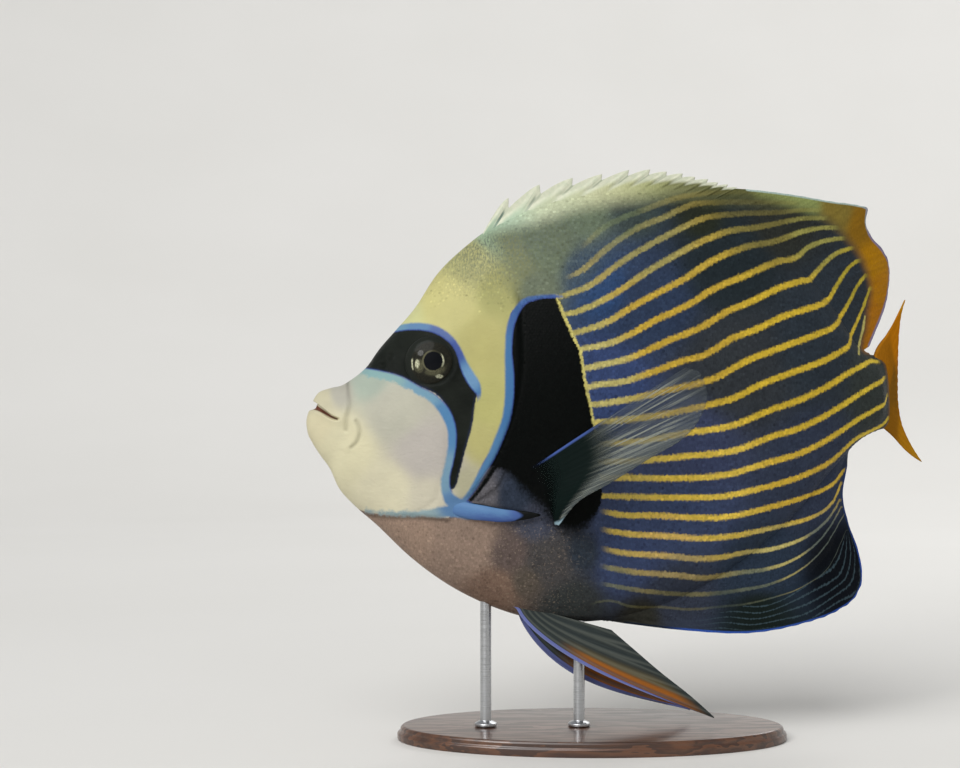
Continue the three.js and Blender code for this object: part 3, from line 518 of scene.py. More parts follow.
# The user's colours: what each is for, and its red, green and blue.
COLOURS = {
    "mask": ("Black of the eye mask", 30, 33, 29),
    "patch": ("Black behind the gill cover", 6, 8, 7),
    "line": ("Upper part of the cheek spine", 84, 120, 162),
    "line_edge": ("Violet-blue edge of the blue lines", 58, 76, 138),
    "bar": ("Thin bar behind the black patch", 182, 172, 100),
    "speck": ("Pale specks of the breast", 158, 142, 122),
    "mouth": ("Inside of the lips", 96, 58, 46),
    "streak": ("Grey streaks on the nape", 88, 98, 90),
    "contour": ("Thin lines along the anal fin's margin", 66, 84, 92),
    "margin": ("Bright blue margin of the anal fin", 48, 82, 164),
    "dorsal_rear": ("Lavender rear edge of the soft back fin", 128, 118, 146),
    "anal_front": ("Dark front part of the anal fin's margin", 24, 32, 44),
    "dorsal_margin": ("Pale edge of the soft back fin", 158, 176, 168),
    "spine": ("Pale spines of the back fin", 204, 205, 184),
    "spine_shade": ("Greener clouds on the spines", 184, 192, 168),
    # The next colour is painted shade where one lobe of the spiny fin overlaps the next.
    "spine_seam": ("Soft lines between the lobes", 128, 138, 118),
    "membrane": ("Membrane behind the first spines", 96, 118, 108),
    "fan": ("Pectoral membrane", 84, 90, 90),
    "fan_shade": ("Darker streaks of the pectoral", 58, 66, 72),
    "fan_ray": ("Pale rays of the paired fins", 162, 166, 152),
    "fan_lead": ("Thin front edge of the pectoral", 64, 84, 140),
    "fan_base": ("Dark base of the pectoral", 12, 22, 20),
    "fan_edge": ("Pale lower edge of the pectoral", 150, 178, 190),
    "pelvic_blue": ("Front spine of the pelvic fins", 98, 106, 158),
    "pelvic_orange": ("Orange band", 146, 88, 36),
    "pelvic_brown": ("Brown line in the orange band", 84, 54, 44),
    "pelvic_ochre": ("Ochre behind the band", 82, 72, 48),
    "pelvic_grey": ("Pelvic membrane", 50, 56, 56),
    "pelvic_shade": ("Darker streaks of the pelvic fins", 42, 48, 48),
    "pupil": ("Black of the pupil", 10, 12, 16),
    "iris": ("Dark iris", 27, 27, 22),
    "iris_haze": ("Paler flecks of the iris", 40, 39, 31),
    "gold": ("Gold ring and haze", 96, 94, 72),
    # The glint colour is painted highlight on the eye.
    "glint": ("Bright flecks of the iris", 196, 196, 166),
    "wood": ("Stained wood", 92, 58, 36),
    "wood_dark": ("Dark grain", 56, 33, 20),
    "wood_pore": ("Pores of the wood", 32, 19, 12),
    "steel": ("Steel of the rods", 168, 170, 172),
    "steel_light": ("Brushed marks", 205, 206, 208),
    "floor": ("Studio floor", 214, 212, 207),
    "floor_light": ("Lighter parts of the floor", 220, 218, 214),
}


# Curves, distances and the shape of the body


def curve(rows, column, at):
    """A smooth curve through a table: cubic pieces whose slopes are the weighted means of the chords."""
    table = np.asarray(rows, float)
    x, y = table[:, 0], table[:, column]
    step = np.diff(x)
    chord = np.diff(y) / step
    slope = np.concatenate([
        chord[:1], (chord[:-1] * step[1:] + chord[1:] * step[:-1]) / (step[1:] + step[:-1]), chord[-1:],
    ])
    at = np.asarray(at, float)
    i = np.clip(np.searchsorted(x, at, side="right") - 1, 0, len(x) - 2)
    u = np.clip((at - x[i]) / step[i], 0, 1)
    return (
        y[i] * (2 * u**3 - 3 * u**2 + 1) + y[i + 1] * (3 * u**2 - 2 * u**3)
        + slope[i] * step[i] * (u**3 - 2 * u**2 + u) + slope[i + 1] * step[i] * (u**3 - u**2)
    )


def ease(low, high, x):
    """0 below low, 1 above high and a smooth step between them, also where low is the larger."""
    share = np.clip((np.asarray(x, float) - low) / (high - low), 0, 1)
    return share * share * (3 - 2 * share)


def bell(x, width):
    """1 at 0 and close to 0 past twice the width: the exponential of the square, falling."""
    return np.exp(-((x / width) ** 2))


def joined(*parts):
    """Points from their three parts, each spread to the shape they share."""
    return np.stack(np.broadcast_arrays(*parts), axis=-1)


def bend(a, b, c):
    """A point of the straight fish in the frame, in millimetres. The heading turns with the cube of the
    distance along the body, so x and y are the sums of its cosine and sine, as short power series. Past
    the tail stem the fin curls on as an arc, tightest at mid height."""
    a, b, c = np.broadcast_arrays(*(np.asarray(value, float) for value in (a, b, c)))
    along = np.minimum(a, BODY_LENGTH)
    u = np.clip((along - STRAIGHT_LENGTH) / TURN_LENGTH, 0, None)
    turn = TAIL_TURN
    x = STRAIGHT_LENGTH + TURN_LENGTH * (u - turn**2 * u**7 / 14 + turn**4 * u**13 / 312)
    x = np.where(along <= STRAIGHT_LENGTH, along, x)
    y = TURN_LENGTH * (turn * u**4 / 4 - turn**3 * u**10 / 60 + turn**5 * u**16 / 1920)
    past = a > BODY_LENGTH
    cup = [np.where(c > 0, top, low) for top, low in zip(CUP_TOP, CUP_LOW)]
    share = np.minimum(1, np.abs(c) / cup[0])
    rate = np.maximum(1e-5, FIN_TURN_PER_MM * (1 - cup[1] * share ** cup[2]))
    start = turn * u**3 + np.where(past, FIN_KINK, 0)
    heading = start + np.where(past, rate * (a - BODY_LENGTH), 0)
    x = x + np.where(past, (np.sin(heading) - np.sin(start)) / rate, 0)
    y = y + np.where(past, (np.cos(start) - np.cos(heading)) / rate, 0)
    return np.stack([
        x - b * np.sin(heading) - BASE_CENTRE[0], y + b * np.cos(heading) - BASE_CENTRE[1], c + AXIS_HEIGHT,
    ], axis=-1)


def side_view(s, t):
    """The outline point at station s, between the belly at t -1 and the back at t 1."""
    mix = (np.asarray(t, float) + 1) / 2
    return (
        curve(LINES, 3, s) * (1 - mix) + curve(LINES, 1, s) * mix,
        curve(LINES, 4, s) * (1 - mix) + curve(LINES, 2, s) * mix,
    )


def half_width(s, t):
    """A lens: the station's half width times a power of the root of 1 - t squared, sharper on the back."""
    sharpness = np.where(t > 0, 0.5, 0.18) * ease(8, 90, s)
    return curve(LINES, 5, s) * np.sqrt(np.maximum(0, 1 - t * t)) ** (1 + sharpness)


def station_of(a, c):
    """Station and t of a place in side view, by halving the range of stations."""
    a, c = np.broadcast_arrays(np.asarray(a, float), np.asarray(c, float))
    low, high = np.zeros(a.shape), np.full(a.shape, BODY_LENGTH)
    for _ in range(30):
        s = (low + high) / 2
        top, bottom = curve(LINES, 2, s), curve(LINES, 4, s)
        t = np.clip(2 * (c - bottom) / (top - bottom + 1e-9) - 1, -1, 1)
        ahead = side_view(s, t)[0] < a
        low, high = np.where(ahead, s, low), np.where(ahead, high, s)
    return low, t


def to_line(a, c, points):
    """Distance in side view to a line through points, less the half width where the points give one."""
    points = np.asarray(points, float)
    nearest = np.full(np.shape(a), 1e3)
    for start, end in zip(points[:-1], points[1:]):
        way = end[:2] - start[:2]
        share = np.clip(((a - start[0]) * way[0] + (c - start[1]) * way[1]) / (way @ way), 0, 1)
        off = np.hypot(a - start[0] - share * way[0], c - start[1] - share * way[1])
        if len(start) > 2:
            off = off - start[2] * (1 - share) - end[2] * share
        nearest = np.minimum(nearest, off)
    return nearest


def smooth_line(points, step=1.5):
    """A line through points, rounded by smooth curves along its length and cut into short steps."""
    points = np.asarray(points, float)
    run = np.concatenate([[0], np.cumsum(np.hypot(*np.diff(points[:, :2], axis=0).T))])
    rows = np.column_stack([run, points])
    at = np.linspace(0, run[-1], max(2, int(run[-1] / step) + 1))
    return np.stack([curve(rows, k + 1, at) for k in range(points.shape[1])], 1)


def to_curve(a, c, points):
    """Distance to a line through points, once it is rounded."""
    return to_line(a, c, smooth_line(points))


def to_outline(a, c, outline):
    """Distance in side view to a closed outline, negative inside it."""
    points = np.asarray(outline, float)
    loop = np.vstack([points, points[:1]])
    inside = np.zeros(np.shape(a), bool)
    for (a0, c0), (a1, c1) in zip(loop[:-1], loop[1:]):
        crosses = (c0 > c) != (c1 > c)
        inside ^= crosses & (a < (a1 - a0) * (c - c0) / (c1 - c0 + 1e-12) + a0)
    return to_line(a, c, loop) * np.where(inside, -1, 1)


def to_gill_edge(a, c):
    """Distance ahead of the gill cover's free edge, or above its lower edge if that is less."""
    return np.minimum(curve(GILL_EDGE, 1, c) - a, c - curve(GILL_FLOOR, 1, a))


def relief(a, c):
    """The skin's swellings and folds on the side view: lips, folds, nostrils, eye rim and gill cover."""
    from_eye = np.hypot(a - EYE["a"], c - EYE["c"])
    mouth = np.maximum(0, to_curve(a, c, MOUTH))
    to_edge = to_gill_edge(a, c)
    low = ease(52, 40, c) * (1 - ease(58, 66, a) * ease(-43, -47, c))
    raised = EYE["swell"] * bell(from_eye, 14) + 0.35 * bell(from_eye - 11, 1.2)
    raised -= 3.2 * (1 - ease(7.6, 9.7, from_eye))
    raised += 0.9 * bell(mouth, 2.6) - 3.4 * bell(mouth, 0.5)
    raised -= 0.9 * bell(to_curve(a, c, LIP_GROOVE), 1.0)
    raised += 0.5 * bell(to_line(a, c, smooth_line(CHEEK_FOLD) - [2.2, 0]), 2)
    raised -= 0.7 * bell(to_curve(a, c, CHEEK_FOLD), 0.8)
    for nostril_a, nostril_c, radius in NOSTRILS:
        off = np.hypot(a - nostril_a, (c - nostril_c) / 1.2)
        raised += 0.5 * bell(off - radius - 0.7, 0.55) - 1.3 * bell(off, radius)
    raised += low * ease(-0.5, 0.5, to_edge) * 0.9 * bell(np.maximum(0, to_edge), 9)
    raised -= low * 0.5 * bell(to_edge + 0.9, 0.7)
    raised -= 0.55 * bell(np.maximum(0, to_curve(a, c, GILL_CREASE)), 0.7)
    raised -= 0.4 * bell(to_curve(a, c, PREOPERCLE), 1.0)
    return raised


def skin_half(s, t):
    """Half width of the skin: the lens with the relief on it, drawn in to the fin at the stem's end."""
    a, c = side_view(s, t)
    wide = half_width(s, t) + relief(a, c) * np.sqrt(np.maximum(0, 1 - t * t)) * ease(0, 12, s)
    before_end = curve(STEM_END, 1, c) - a
    drawn = 2.2 + (wide - 2.2) * ease(-1, 11, before_end)
    return np.where(s > STEM_START, np.minimum(wide, drawn), wide)


def on_flank(a, c):
    """Half width of the finished skin at a place in side view."""
    return skin_half(*station_of(a, c))


# Colours and stripes


def zone_colour(a, c, zones):
    """The mean of the zones' colours, each weighted by a high power of its reach over the distance."""
    total = np.zeros(np.shape(a) + (3,))
    weights = np.full(np.shape(a), 1e-12)
    for zone_a, zone_c, reach, *colour in zones.values():
        weight = 1 / (0.05 + ((a - zone_a) ** 2 + (c - zone_c) ** 2) / reach**2) ** 2.6
        total += weight[..., None] * np.array(srgb(*colour))
        weights += weight
    return total / weights[..., None]


def blend_colours(share, one, other):
    """Colours between two by a share for each point."""
    share = np.asarray(share, float)[:, None]
    return np.array(one) * (1 - share) + np.array(other) * share


def stripe_phase(a, c):
    """The number of the stripe at each place, running evenly from one stripe's middle to the next."""
    middles = np.stack([curve(row[2], 1, a) for row in STRIPES])
    for k in range(1, len(STRIPES)):
        middles[k] = np.minimum(middles[k], middles[k - 1] - MIN_STRIPE_STEP)
    phase = np.zeros(np.shape(a))
    for upper, lower in zip(middles[:-1], middles[1:]):
        phase += np.clip((upper - c) / (upper - lower), 0, 1)
    above = np.maximum(0, c - middles[0]) / OUTER_STRIPE_STEP
    below = np.maximum(0, middles[-1] - c) / OUTER_STRIPE_STEP
    return phase - above + below


def stripes_at(a, c):
    """Phase, half width in phase, and strength of the nearest stripe."""
    phase = stripe_phase(a, c)
    slope = np.hypot(stripe_phase(a + 0.4, c) - stripe_phase(a - 0.4, c),
                     stripe_phase(a, c + 0.4) - stripe_phase(a, c - 0.4)) / 0.8
    nearest = np.clip(np.round(phase), 0, len(STRIPES) - 1).astype(int)
    rows = np.array([(half, strength, points[0][0], points[-1][0]) for half, strength, points in STRIPES])
    half, strength, starts, ends = rows.T[:, nearest]
    half = half * (0.85 + 0.15 * ease(0, 15, a - starts)) * (0.7 + 0.3 * ease(0, 40, ends - a))
    half = half * (1 - 0.6 * ease(13, 18, nearest) * ease(170, 235, a))
    strength = strength * (1 - 0.55 * ease(74, 86, c) * ease(155, 190, a))
    soft_start = np.where((nearest < 2) | (nearest > 13), STRIPE_FADE, 1)
    shown = ease(-1, soft_start, a - starts) * ease(-3, 2.5, ends - a)
    outside = np.abs(phase - nearest) > 0.5
    return phase, half * slope, strength * shown * ~outside


# Node trees and the markings


class Value:
    """A socket to reckon with: each sign or call adds a node to its tree."""

    def __init__(self, tree, socket):
        self.tree, self.socket = tree, socket

    def math(self, operation, *others, **settings):
        inputs = dict(enumerate((self, *others)))
        return self.tree.value("ShaderNodeMath", inputs, operation=operation, **settings)

    def __add__(self, other):
        return self.math("ADD", other)

    def __sub__(self, other):
        return self.math("SUBTRACT", other)

    def __mul__(self, other):
        return self.math("MULTIPLY", other)

    def __truediv__(self, other):
        return self.math("DIVIDE", other)

    def __abs__(self):
        return self.math("ABSOLUTE")

    def least(self, other):
        return self.math("MINIMUM", other)

    def most(self, other):
        return self.math("MAXIMUM", other)

    def smooth(self, low, high, start=0.0, end=1.0):
        """Runs from start where this is low to end where it is high, in a smooth step."""
        inputs = {"Value": self, "From Min": low, "From Max": high, "To Min": start, "To Max": end}
        return self.tree.value("ShaderNodeMapRange", inputs, interpolation_type="SMOOTHSTEP")


class Tree:
    """A node tree built by short calls, whose inputs are numbers, colours or Values."""

    def __init__(self, tree):
        self.tree = tree

    def feed(self, node, inputs):
        """Links or sets a node's inputs."""
        for key, value in inputs.items():
            socket = node.inputs[key]
            if isinstance(value, Value):
                self.tree.links.new(value.socket, socket)
            elif socket.type == "RGBA" and len(value) == 3:
                socket.default_value = (*value, 1)
            else:
                socket.default_value = value

    def node(self, kind, inputs=None, **settings):
        made = self.tree.nodes.new(kind)
        for key, value in settings.items():
            setattr(made, key, value)
        self.feed(made, inputs or {})
        return made

    def value(self, kind, inputs=None, output=0, **settings):
        return Value(self, self.node(kind, inputs, **settings).outputs[output])

    def values(self, kind, inputs=None, **settings):
        """All outputs of a new node by name, in their order."""
        return {socket.name: Value(self, socket) for socket in self.node(kind, inputs, **settings).outputs}

    def attribute(self, name, output="Fac"):
        return self.value("ShaderNodeAttribute", output=output, attribute_name=name)

    def parts(self, name):
        """The three numbers of a vector attribute."""
        return self.values("ShaderNodeSeparateXYZ", {0: self.attribute(name, "Vector")}).values()

    def mix(self, share, one, other, blend="MIX"):
        """One colour at share 0 and the other at 1."""
        inputs = {0: share, 6: one, 7: other}
        return self.value("ShaderNodeMix", inputs, 2, data_type="RGBA", blend_type=blend)

    def layers(self, colour, *layers):
        """A colour with tints laid over it in turn, each by its share."""
        for share, tint in layers:
            colour = self.mix(share, colour, tint)
        return colour

    def stretched(self, vector, scale):
        return self.value("ShaderNodeMapping", {"Vector": vector, "Scale": scale})

    def noise(self, vector, scale, detail=2.0, roughness=0.5, stretch=None):
        place = self.stretched(vector, stretch) if stretch else vector
        inputs = {"Vector": place, "Scale": scale, "Detail": detail, "Roughness": roughness}
        return self.value("ShaderNodeTexNoise", inputs)

    def bump(self, height, strength, distance):
        inputs = {"Strength": strength, "Distance": distance, "Height": height}
        return self.value("ShaderNodeBump", inputs)


def material_of(name, fill):
    """The material of that name, made on its first use: fill gives its shader's inputs."""
    made = bpy.data.materials.get(name)
    if made:
        return made
    made = bpy.data.materials.new(name)
    made.use_nodes = True
    tree = Tree(made.node_tree)
    tree.feed(made.node_tree.nodes["Principled BSDF"], fill(tree, bpy.context.scene.angelfish_colours))
    return made


def fill_markings(tree, given):
    """Colours a point from its marks: stripes on the ground colour, then the black mask and patch, the
    pale bars and the blue lines, with edges roughened by noise the size of a scale."""
    flat = tree.attribute("flat", "Vector")
    phase, stripe_half, strength = tree.parts("stripes")
    # patch also carries the painted shadow behind the gill cover's edge, laid in black
    blue, mask, patch = tree.parts("lines")
    head, bar, margin = tree.parts("edges")
    contour, ray, grain = tree.parts("extras")
    line_pale = tree.attribute("line_pale")
    ragged = tree.noise(flat, 1.0, stretch=(1.0, 1, 0.6)) - 0.5
    streaks = tree.noise(flat, 1.0, roughness=0.6, stretch=(1.5, 1, 0.6))
    specks = tree.noise(flat, 1.15, roughness=0.6)
    mottle = tree.noise(flat, 0.05, 3.0, 0.6)
    blotch = (tree.noise(flat, 0.28, 3.0, 0.6) - 0.5) * line_pale
    ground = tree.layers(
        tree.attribute("ground_body", "Color"),
        (head.smooth(-0.35, 0.35), tree.attribute("ground_head", "Color")),
        (tree.attribute("streaky") * streaks.smooth(0.38, 0.64), given["Streak"]),
        (specks.smooth(0.54, 0.7) * tree.attribute("specked"), given["Speck"]),
    )
    dimmed = tree.mix(1.0, ground, (0.5, 0.5, 0.55), "MULTIPLY")
    off = abs(phase - phase.math("ROUND"))
    stripe = (off / stripe_half.most(0.01) + ragged * 1.3).smooth(1.4, 0.5) * strength
    wave = abs(contour.math("FRACT") - 0.5)
    thin = (wave + ragged * 0.45).smooth(0.16, 0.02) * tree.attribute("contour_share")
    mask = mask + ragged * 0.9
    deep = tree.layers(
        given["Mask"],
        (mask.smooth(-1.6, 0.4, 0, 0.2), given["Line edge"]),
        (mottle.smooth(0.35, 0.7) * 0.5, given["Patch"]),
    )
    blue = blue + ragged * 0.5
    black = mask.least(patch)
    dark_side = black.smooth(1.7, 0.3)
    soft_line = (blue + blotch * 6.0).smooth(line_pale.smooth(0.0, 1.0, 0.5, 1.6), -0.9)
    colour = tree.layers(
        ground,
        (mottle.smooth(0.3, 0.75, 0, 0.22), dimmed),
        (stripe, tree.attribute("stripe_colour", "Color")),
        (thin, given["Contour"]),
        ((patch + ragged * 0.9).smooth(0.5, -0.5), given["Patch"]),
        ((bar + ragged * 0.9).smooth(0.5, -0.3), given["Bar"]),
        (mask.smooth(0.4, -0.4), deep),
        (blue.smooth(0.55, -0.25, 0, 0.85) * dark_side, given["Line edge"]),
        (tree.mix(dark_side, soft_line, blue.smooth(0.2, -0.8)), tree.attribute("line_colour", "Color")),
        (tree.attribute("mouth").smooth(0.45, -0.1), given["Mouth"]),
        (margin.smooth(given["Margin"], given["Margin"] * 0.5), tree.attribute("edge_colour", "Color")),
    )
    shade = head.smooth(0.35, -0.35, 0.0, 0.7) * (streaks - 0.5) + 1.0
    shade = shade + grain * given["Grain"] + ray * given["Ray shade"]
    return {
        "Colour": tree.value("ShaderNodeVectorMath", {0: colour, "Scale": shade}, operation="SCALE"),
        "Roughness": tree.noise(flat, 0.6).smooth(0.2, 0.8, 0.36, 0.52),
        "Wet": black.smooth(-0.5, 1.0),
    }


def markings_group():
    """The markings as one node group, with the user's colours on its inputs."""
    made = bpy.data.node_groups.get("fish markings")
    if made:
        return made
    made = bpy.data.node_groups.new("fish markings", "ShaderNodeTree")
    colours = bpy.context.scene.angelfish_colours
    for label in ("Streak", "Contour", "Patch", "Bar", "Mask", "Line edge", "Speck", "Mouth"):
        socket = made.interface.new_socket(label, in_out="INPUT", socket_type="NodeSocketColor")
        socket.default_value = (*getattr(colours, label.lower().replace(" ", "_")), 1)
    for label in ("Margin", "Grain", "Ray shade"):
        made.interface.new_socket(label, in_out="INPUT", socket_type="NodeSocketFloat")
    for label, kind in (("Colour", "Color"), ("Roughness", "Float"), ("Wet", "Float")):
        made.interface.new_socket(label, in_out="OUTPUT", socket_type=f"NodeSocket{kind}")
    tree = Tree(made)
    results = fill_markings(tree, tree.values("NodeGroupInput"))
    tree.node("NodeGroupOutput", results)
    return made


def marked_material(name, grain=0.12, ray_shade=0.0, margin=0.0, bump=0.25, coat=0.06, specular=0.04):
    """A material with the fish's markings, a soft wet coat and a fine bump of skin or scales."""
    def fill(tree, colours):
        inputs = {"Grain": grain, "Ray shade": ray_shade, "Margin": margin}
        made = tree.values("ShaderNodeGroup", inputs, node_tree=markings_group())
        flat = tree.attribute("flat", "Vector")
        cells = {"Vector": tree.stretched(flat, (0.85, 1, 1.1)), "Scale": 0.75}
        height = tree.value("ShaderNodeTexVoronoi", cells, "Distance", feature="SMOOTH_F1") * -0.6
        height = height + tree.noise(flat, 2.6) * 0.5
        return {
            "Base Color": made["Colour"], "Roughness": made["Roughness"], "Coat Weight": made["Wet"] * coat,
            "Coat Roughness": 0.3, "Specular IOR Level": specular, "Normal": tree.bump(height, bump, 0.0006),
        }

    return material_of(name, fill)


# Meshes and their marks


def set_attribute(mesh, name, *parts):
    """Writes one attribute of the mesh's points: a number, a vector of three parts, or a colour given
    as rows of three."""
    if np.ndim(parts[0]) == 2:
        kind, field = "FLOAT_COLOR", "color"
        values = np.column_stack([parts[0], np.ones(len(parts[0]))])
    else:
        kind, field = ("FLOAT", "value") if len(parts) == 1 else ("FLOAT_VECTOR", "vector")
        values = joined(np.zeros(len(mesh.vertices)), *parts)[:, 1:]
    layer = mesh.attributes.new(name, kind, "POINT")
    layer.data.foreach_set(field, values.astype(np.float32).ravel())


def paint(mesh, a, c, margin=50.0, ray=0.0, grain=0.0, body_zones=None, contour=(0.0, 0.0),
          edge_colour=(0.0, 0.0, 0.0)):
    """Gives every point the marks of its place in side view, for the markings group to read."""
    phase, stripe_half, strength = stripes_at(a, c)
    blue = np.min([to_curve(a, c, line) for line in BLUE_LINES], axis=0)
    bar = np.min([to_curve(a, c, line) for line in PALE_BARS], axis=0)
    mask = to_outline(a, c, smooth_line(MASK))
    patch_soft = 0.6 + 8 * ease(-22, -50, c) * ease(130, 118, a)
    # The patch takes in the painted black shadow behind the gill cover's edge.
    patch = np.minimum(to_outline(a, c, smooth_line(PATCH)) / patch_soft, to_curve(a, c, GILL_SHADOW))
    level, depth, *tint = (curve(BACK_TINT, k, a) for k in range(1, 6))
    pale_back = ease(0, 1, (c - level) / depth + 1)
    body = blend_colours(pale_back, zone_colour(a, c, BODY_ZONES), joined(*tint))
    orange = ease(5.5, -3, to_outline(a, c, smooth_line(ORANGE_FRONT))) * ease(17.5, 22, c)
    body = blend_colours(orange, body, zone_colour(a, c, DORSAL_ZONES))
    stem_end = ease(-2.6, -0.6, a - curve(STEM_END, 1, c)) * (0.85 * (np.abs(c) < 22))
    body = blend_colours(stem_end, body, srgb(104, 70, 26))
    head = to_gill_edge(a, c)
    # Painted shade: the flank darkened just behind the gill cover's edge and along the crease of the fold
    # behind it.
    body = body * (1 - 0.55 * ease(52, 40, c) * bell(head + 1.2, 1.0))[:, None]
    body = body * (1 - 0.45 * bell(to_curve(a, c, GILL_CREASE), 0.9))[:, None]
    face = zone_colour(a, c, HEAD_ZONES)
    # Painted shade: the face darkened along the lip's groove, more so higher up, and along the cheek's fold.
    face = face * (1 - (0.2 + 0.25 * ease(-4, 8, c)) * bell(to_curve(a, c, LIP_GROOVE), 0.8))[:, None]
    face = face * (1 - 0.22 * bell(to_curve(a, c, CHEEK_FOLD), 0.8))[:, None]
    if body_zones:
        body = zone_colour(a, c, body_zones)
        strength = strength * 0
    streaky = ease(35, 70, c) * ease(150, 95, a) * ease(50, 75, a)
    pale = np.maximum(ease(62, 40, a) * ease(20, 8, c), 0.25 * ease(-14, -30, c) * ease(69, 64, a))
    for name, *parts in (
        ("flat", a, 0, c),
        ("stripes", phase, stripe_half, strength),
        ("lines", blue, mask, patch),
        ("edges", head / (1 + 20 * ease(34, 52, c)), bar, margin),
        ("extras", contour[0], ray, grain),
        ("ground_head", face),
        ("ground_body", body),
        ("stripe_colour", zone_colour(a, c, STRIPE_ZONES)),
        ("streaky", streaky * 0.75 * (1 - 0.85 * pale_back)),
        ("specked", 0.38 * ease(-50, -60, c) * ease(135, 105, a)),
        ("contour_share", contour[1]),
        ("line_pale", pale),
        ("line_colour", zone_colour(a, c, LINE_ZONES)),
        ("mouth", to_curve(a, c, MOUTH)),
        ("edge_colour", np.broadcast_to(edge_colour, (len(a), 3))),
    ):
        set_attribute(mesh, name, *parts)


def new_piece(name, points, faces, material, smooth=True):
    """A mesh object from points in millimetres of the frame and faces, riding on the root."""
    mesh = bpy.data.meshes.new(name)
    points = np.asarray(points, float) * MM
    sizes = np.full(len(faces), np.shape(faces)[1], np.int32)
    mesh.vertices.add(len(points))
    mesh.vertices.foreach_set("co", points.astype(np.float32).ravel())
    mesh.loops.add(int(sizes.sum()))
    mesh.loops.foreach_set("vertex_index", np.asarray(faces, np.int32).ravel())
    mesh.polygons.add(len(faces))
    mesh.polygons.foreach_set("loop_start", np.concatenate([[0], np.cumsum(sizes)[:-1]]).astype(np.int32))
    mesh.update(calc_edges=True)
    mesh.validate()
    mesh.polygons.foreach_set("use_smooth", np.full(len(mesh.polygons), smooth))
    piece = bpy.data.objects.new(name, mesh)
    bpy.context.scene.collection.objects.link(piece)
    mesh.materials.append(material)
    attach(piece, "root")
    return piece


def grid_faces(rows, columns, closed=False):
    """Triangles of a grid of rows by columns of points, joined round to the first column if closed."""
    i, k = np.meshgrid(np.arange(rows - 1), np.arange(columns if closed else columns - 1), indexing="ij")
    after = (k + 1) % columns
    p, q = i * columns + k, i * columns + after
    r, t = q + columns, p + columns
    return np.concatenate([np.stack([p, q, r], -1).reshape(-1, 3), np.stack([p, r, t], -1).reshape(-1, 3)])


def tube_faces(rows, columns):
    """Triangles of a row of rings closed round and at both ends, with a point after the last ring for
    each end."""
    first, last = rows * columns, rows * columns + 1
    k = np.arange(columns)
    after = (k + 1) % columns
    end = (rows - 1) * columns
    caps = [np.stack([after, k, k * 0 + first], 1), np.stack([end + k, end + after, k * 0 + last], 1)]
    return np.concatenate([grid_faces(rows, columns, closed=True), *caps])


def tube_points(rings):
    """The rings' points, then the middle of the first and of the last ring."""
    return np.concatenate([rings.reshape(-1, 3), rings[:1].mean(axis=1), rings[-1:].mean(axis=1)])


def outward(points, faces):
    """The faces turned over if they enclose a negative volume."""
    corners = np.asarray(points)[faces]
    volume = np.einsum("ij,ij->i", corners[:, 0], np.cross(corners[:, 1], corners[:, 2])).sum()
    return faces if volume > 0 else faces[:, ::-1]


# Skin and scales


def build_skin():
    """One closed skin: rings of points from the lips to the tail stem. Round each ring the height runs
    half evenly and half as a sine, and the width is the lens with its relief."""
    sizes = bpy.context.scene.angelfish_sizes
    rows, half = sizes.skin_stations, sizes.skin_around // 2
    s = BODY_LENGTH * np.linspace(0, 1, rows + 1)[1:] ** 1.25
    w = np.linspace(-1, 1, half + 1)
    t = 0.5 * w + 0.5 * np.sin(np.pi * w / 2)
    t = np.concatenate([t, t[-2:0:-1]])
    side = np.concatenate([-np.ones(half + 1), np.ones(half - 1)])
    s, t = np.meshgrid(s, t, indexing="ij")
    a, c = side_view(s, t)
    b = side * skin_half(s, t)
    a = np.where(s > STEM_START, np.minimum(a, curve(STEM_END, 1, c)), a)
    opening = np.maximum(0, to_curve(a, c, MOUTH))
    a = a + MOUTH_DEPTH * ease(10, 3, a) * bell(opening, 0.6)
    tip_a, tip_c = side_view(0.0, 0.0)
    flat = joined(a, b, c)
    flat = np.concatenate([flat.reshape(-1, 3), [[tip_a + MOUTH_DEPTH, 0, tip_c]], flat[-1:].mean(axis=1)])
    points = bend(*flat.T)
    material = marked_material("fish skin", grain=0.0, bump=0.35)
    piece = new_piece("fish_skin", points, outward(points, tube_faces(rows, 2 * half)), material)
    paint(piece.data, flat[:, 0], flat[:, 2])
    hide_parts("head", "trunk", "tail_stem")


def unit(vectors):
    """Vectors of length one."""
    return vectors / (np.linalg.norm(vectors, axis=-1, keepdims=True) + 1e-12)


def back_side(way, axis):
    """One part of each piece's direction as a column: across the side view for axis 0, upwards for 2."""
    if axis == 2:
        return way[:, 2:]
    return np.hypot(way[:, 0], way[:, 1])[:, None] * np.sign(way[:, :1] + 1e-9)


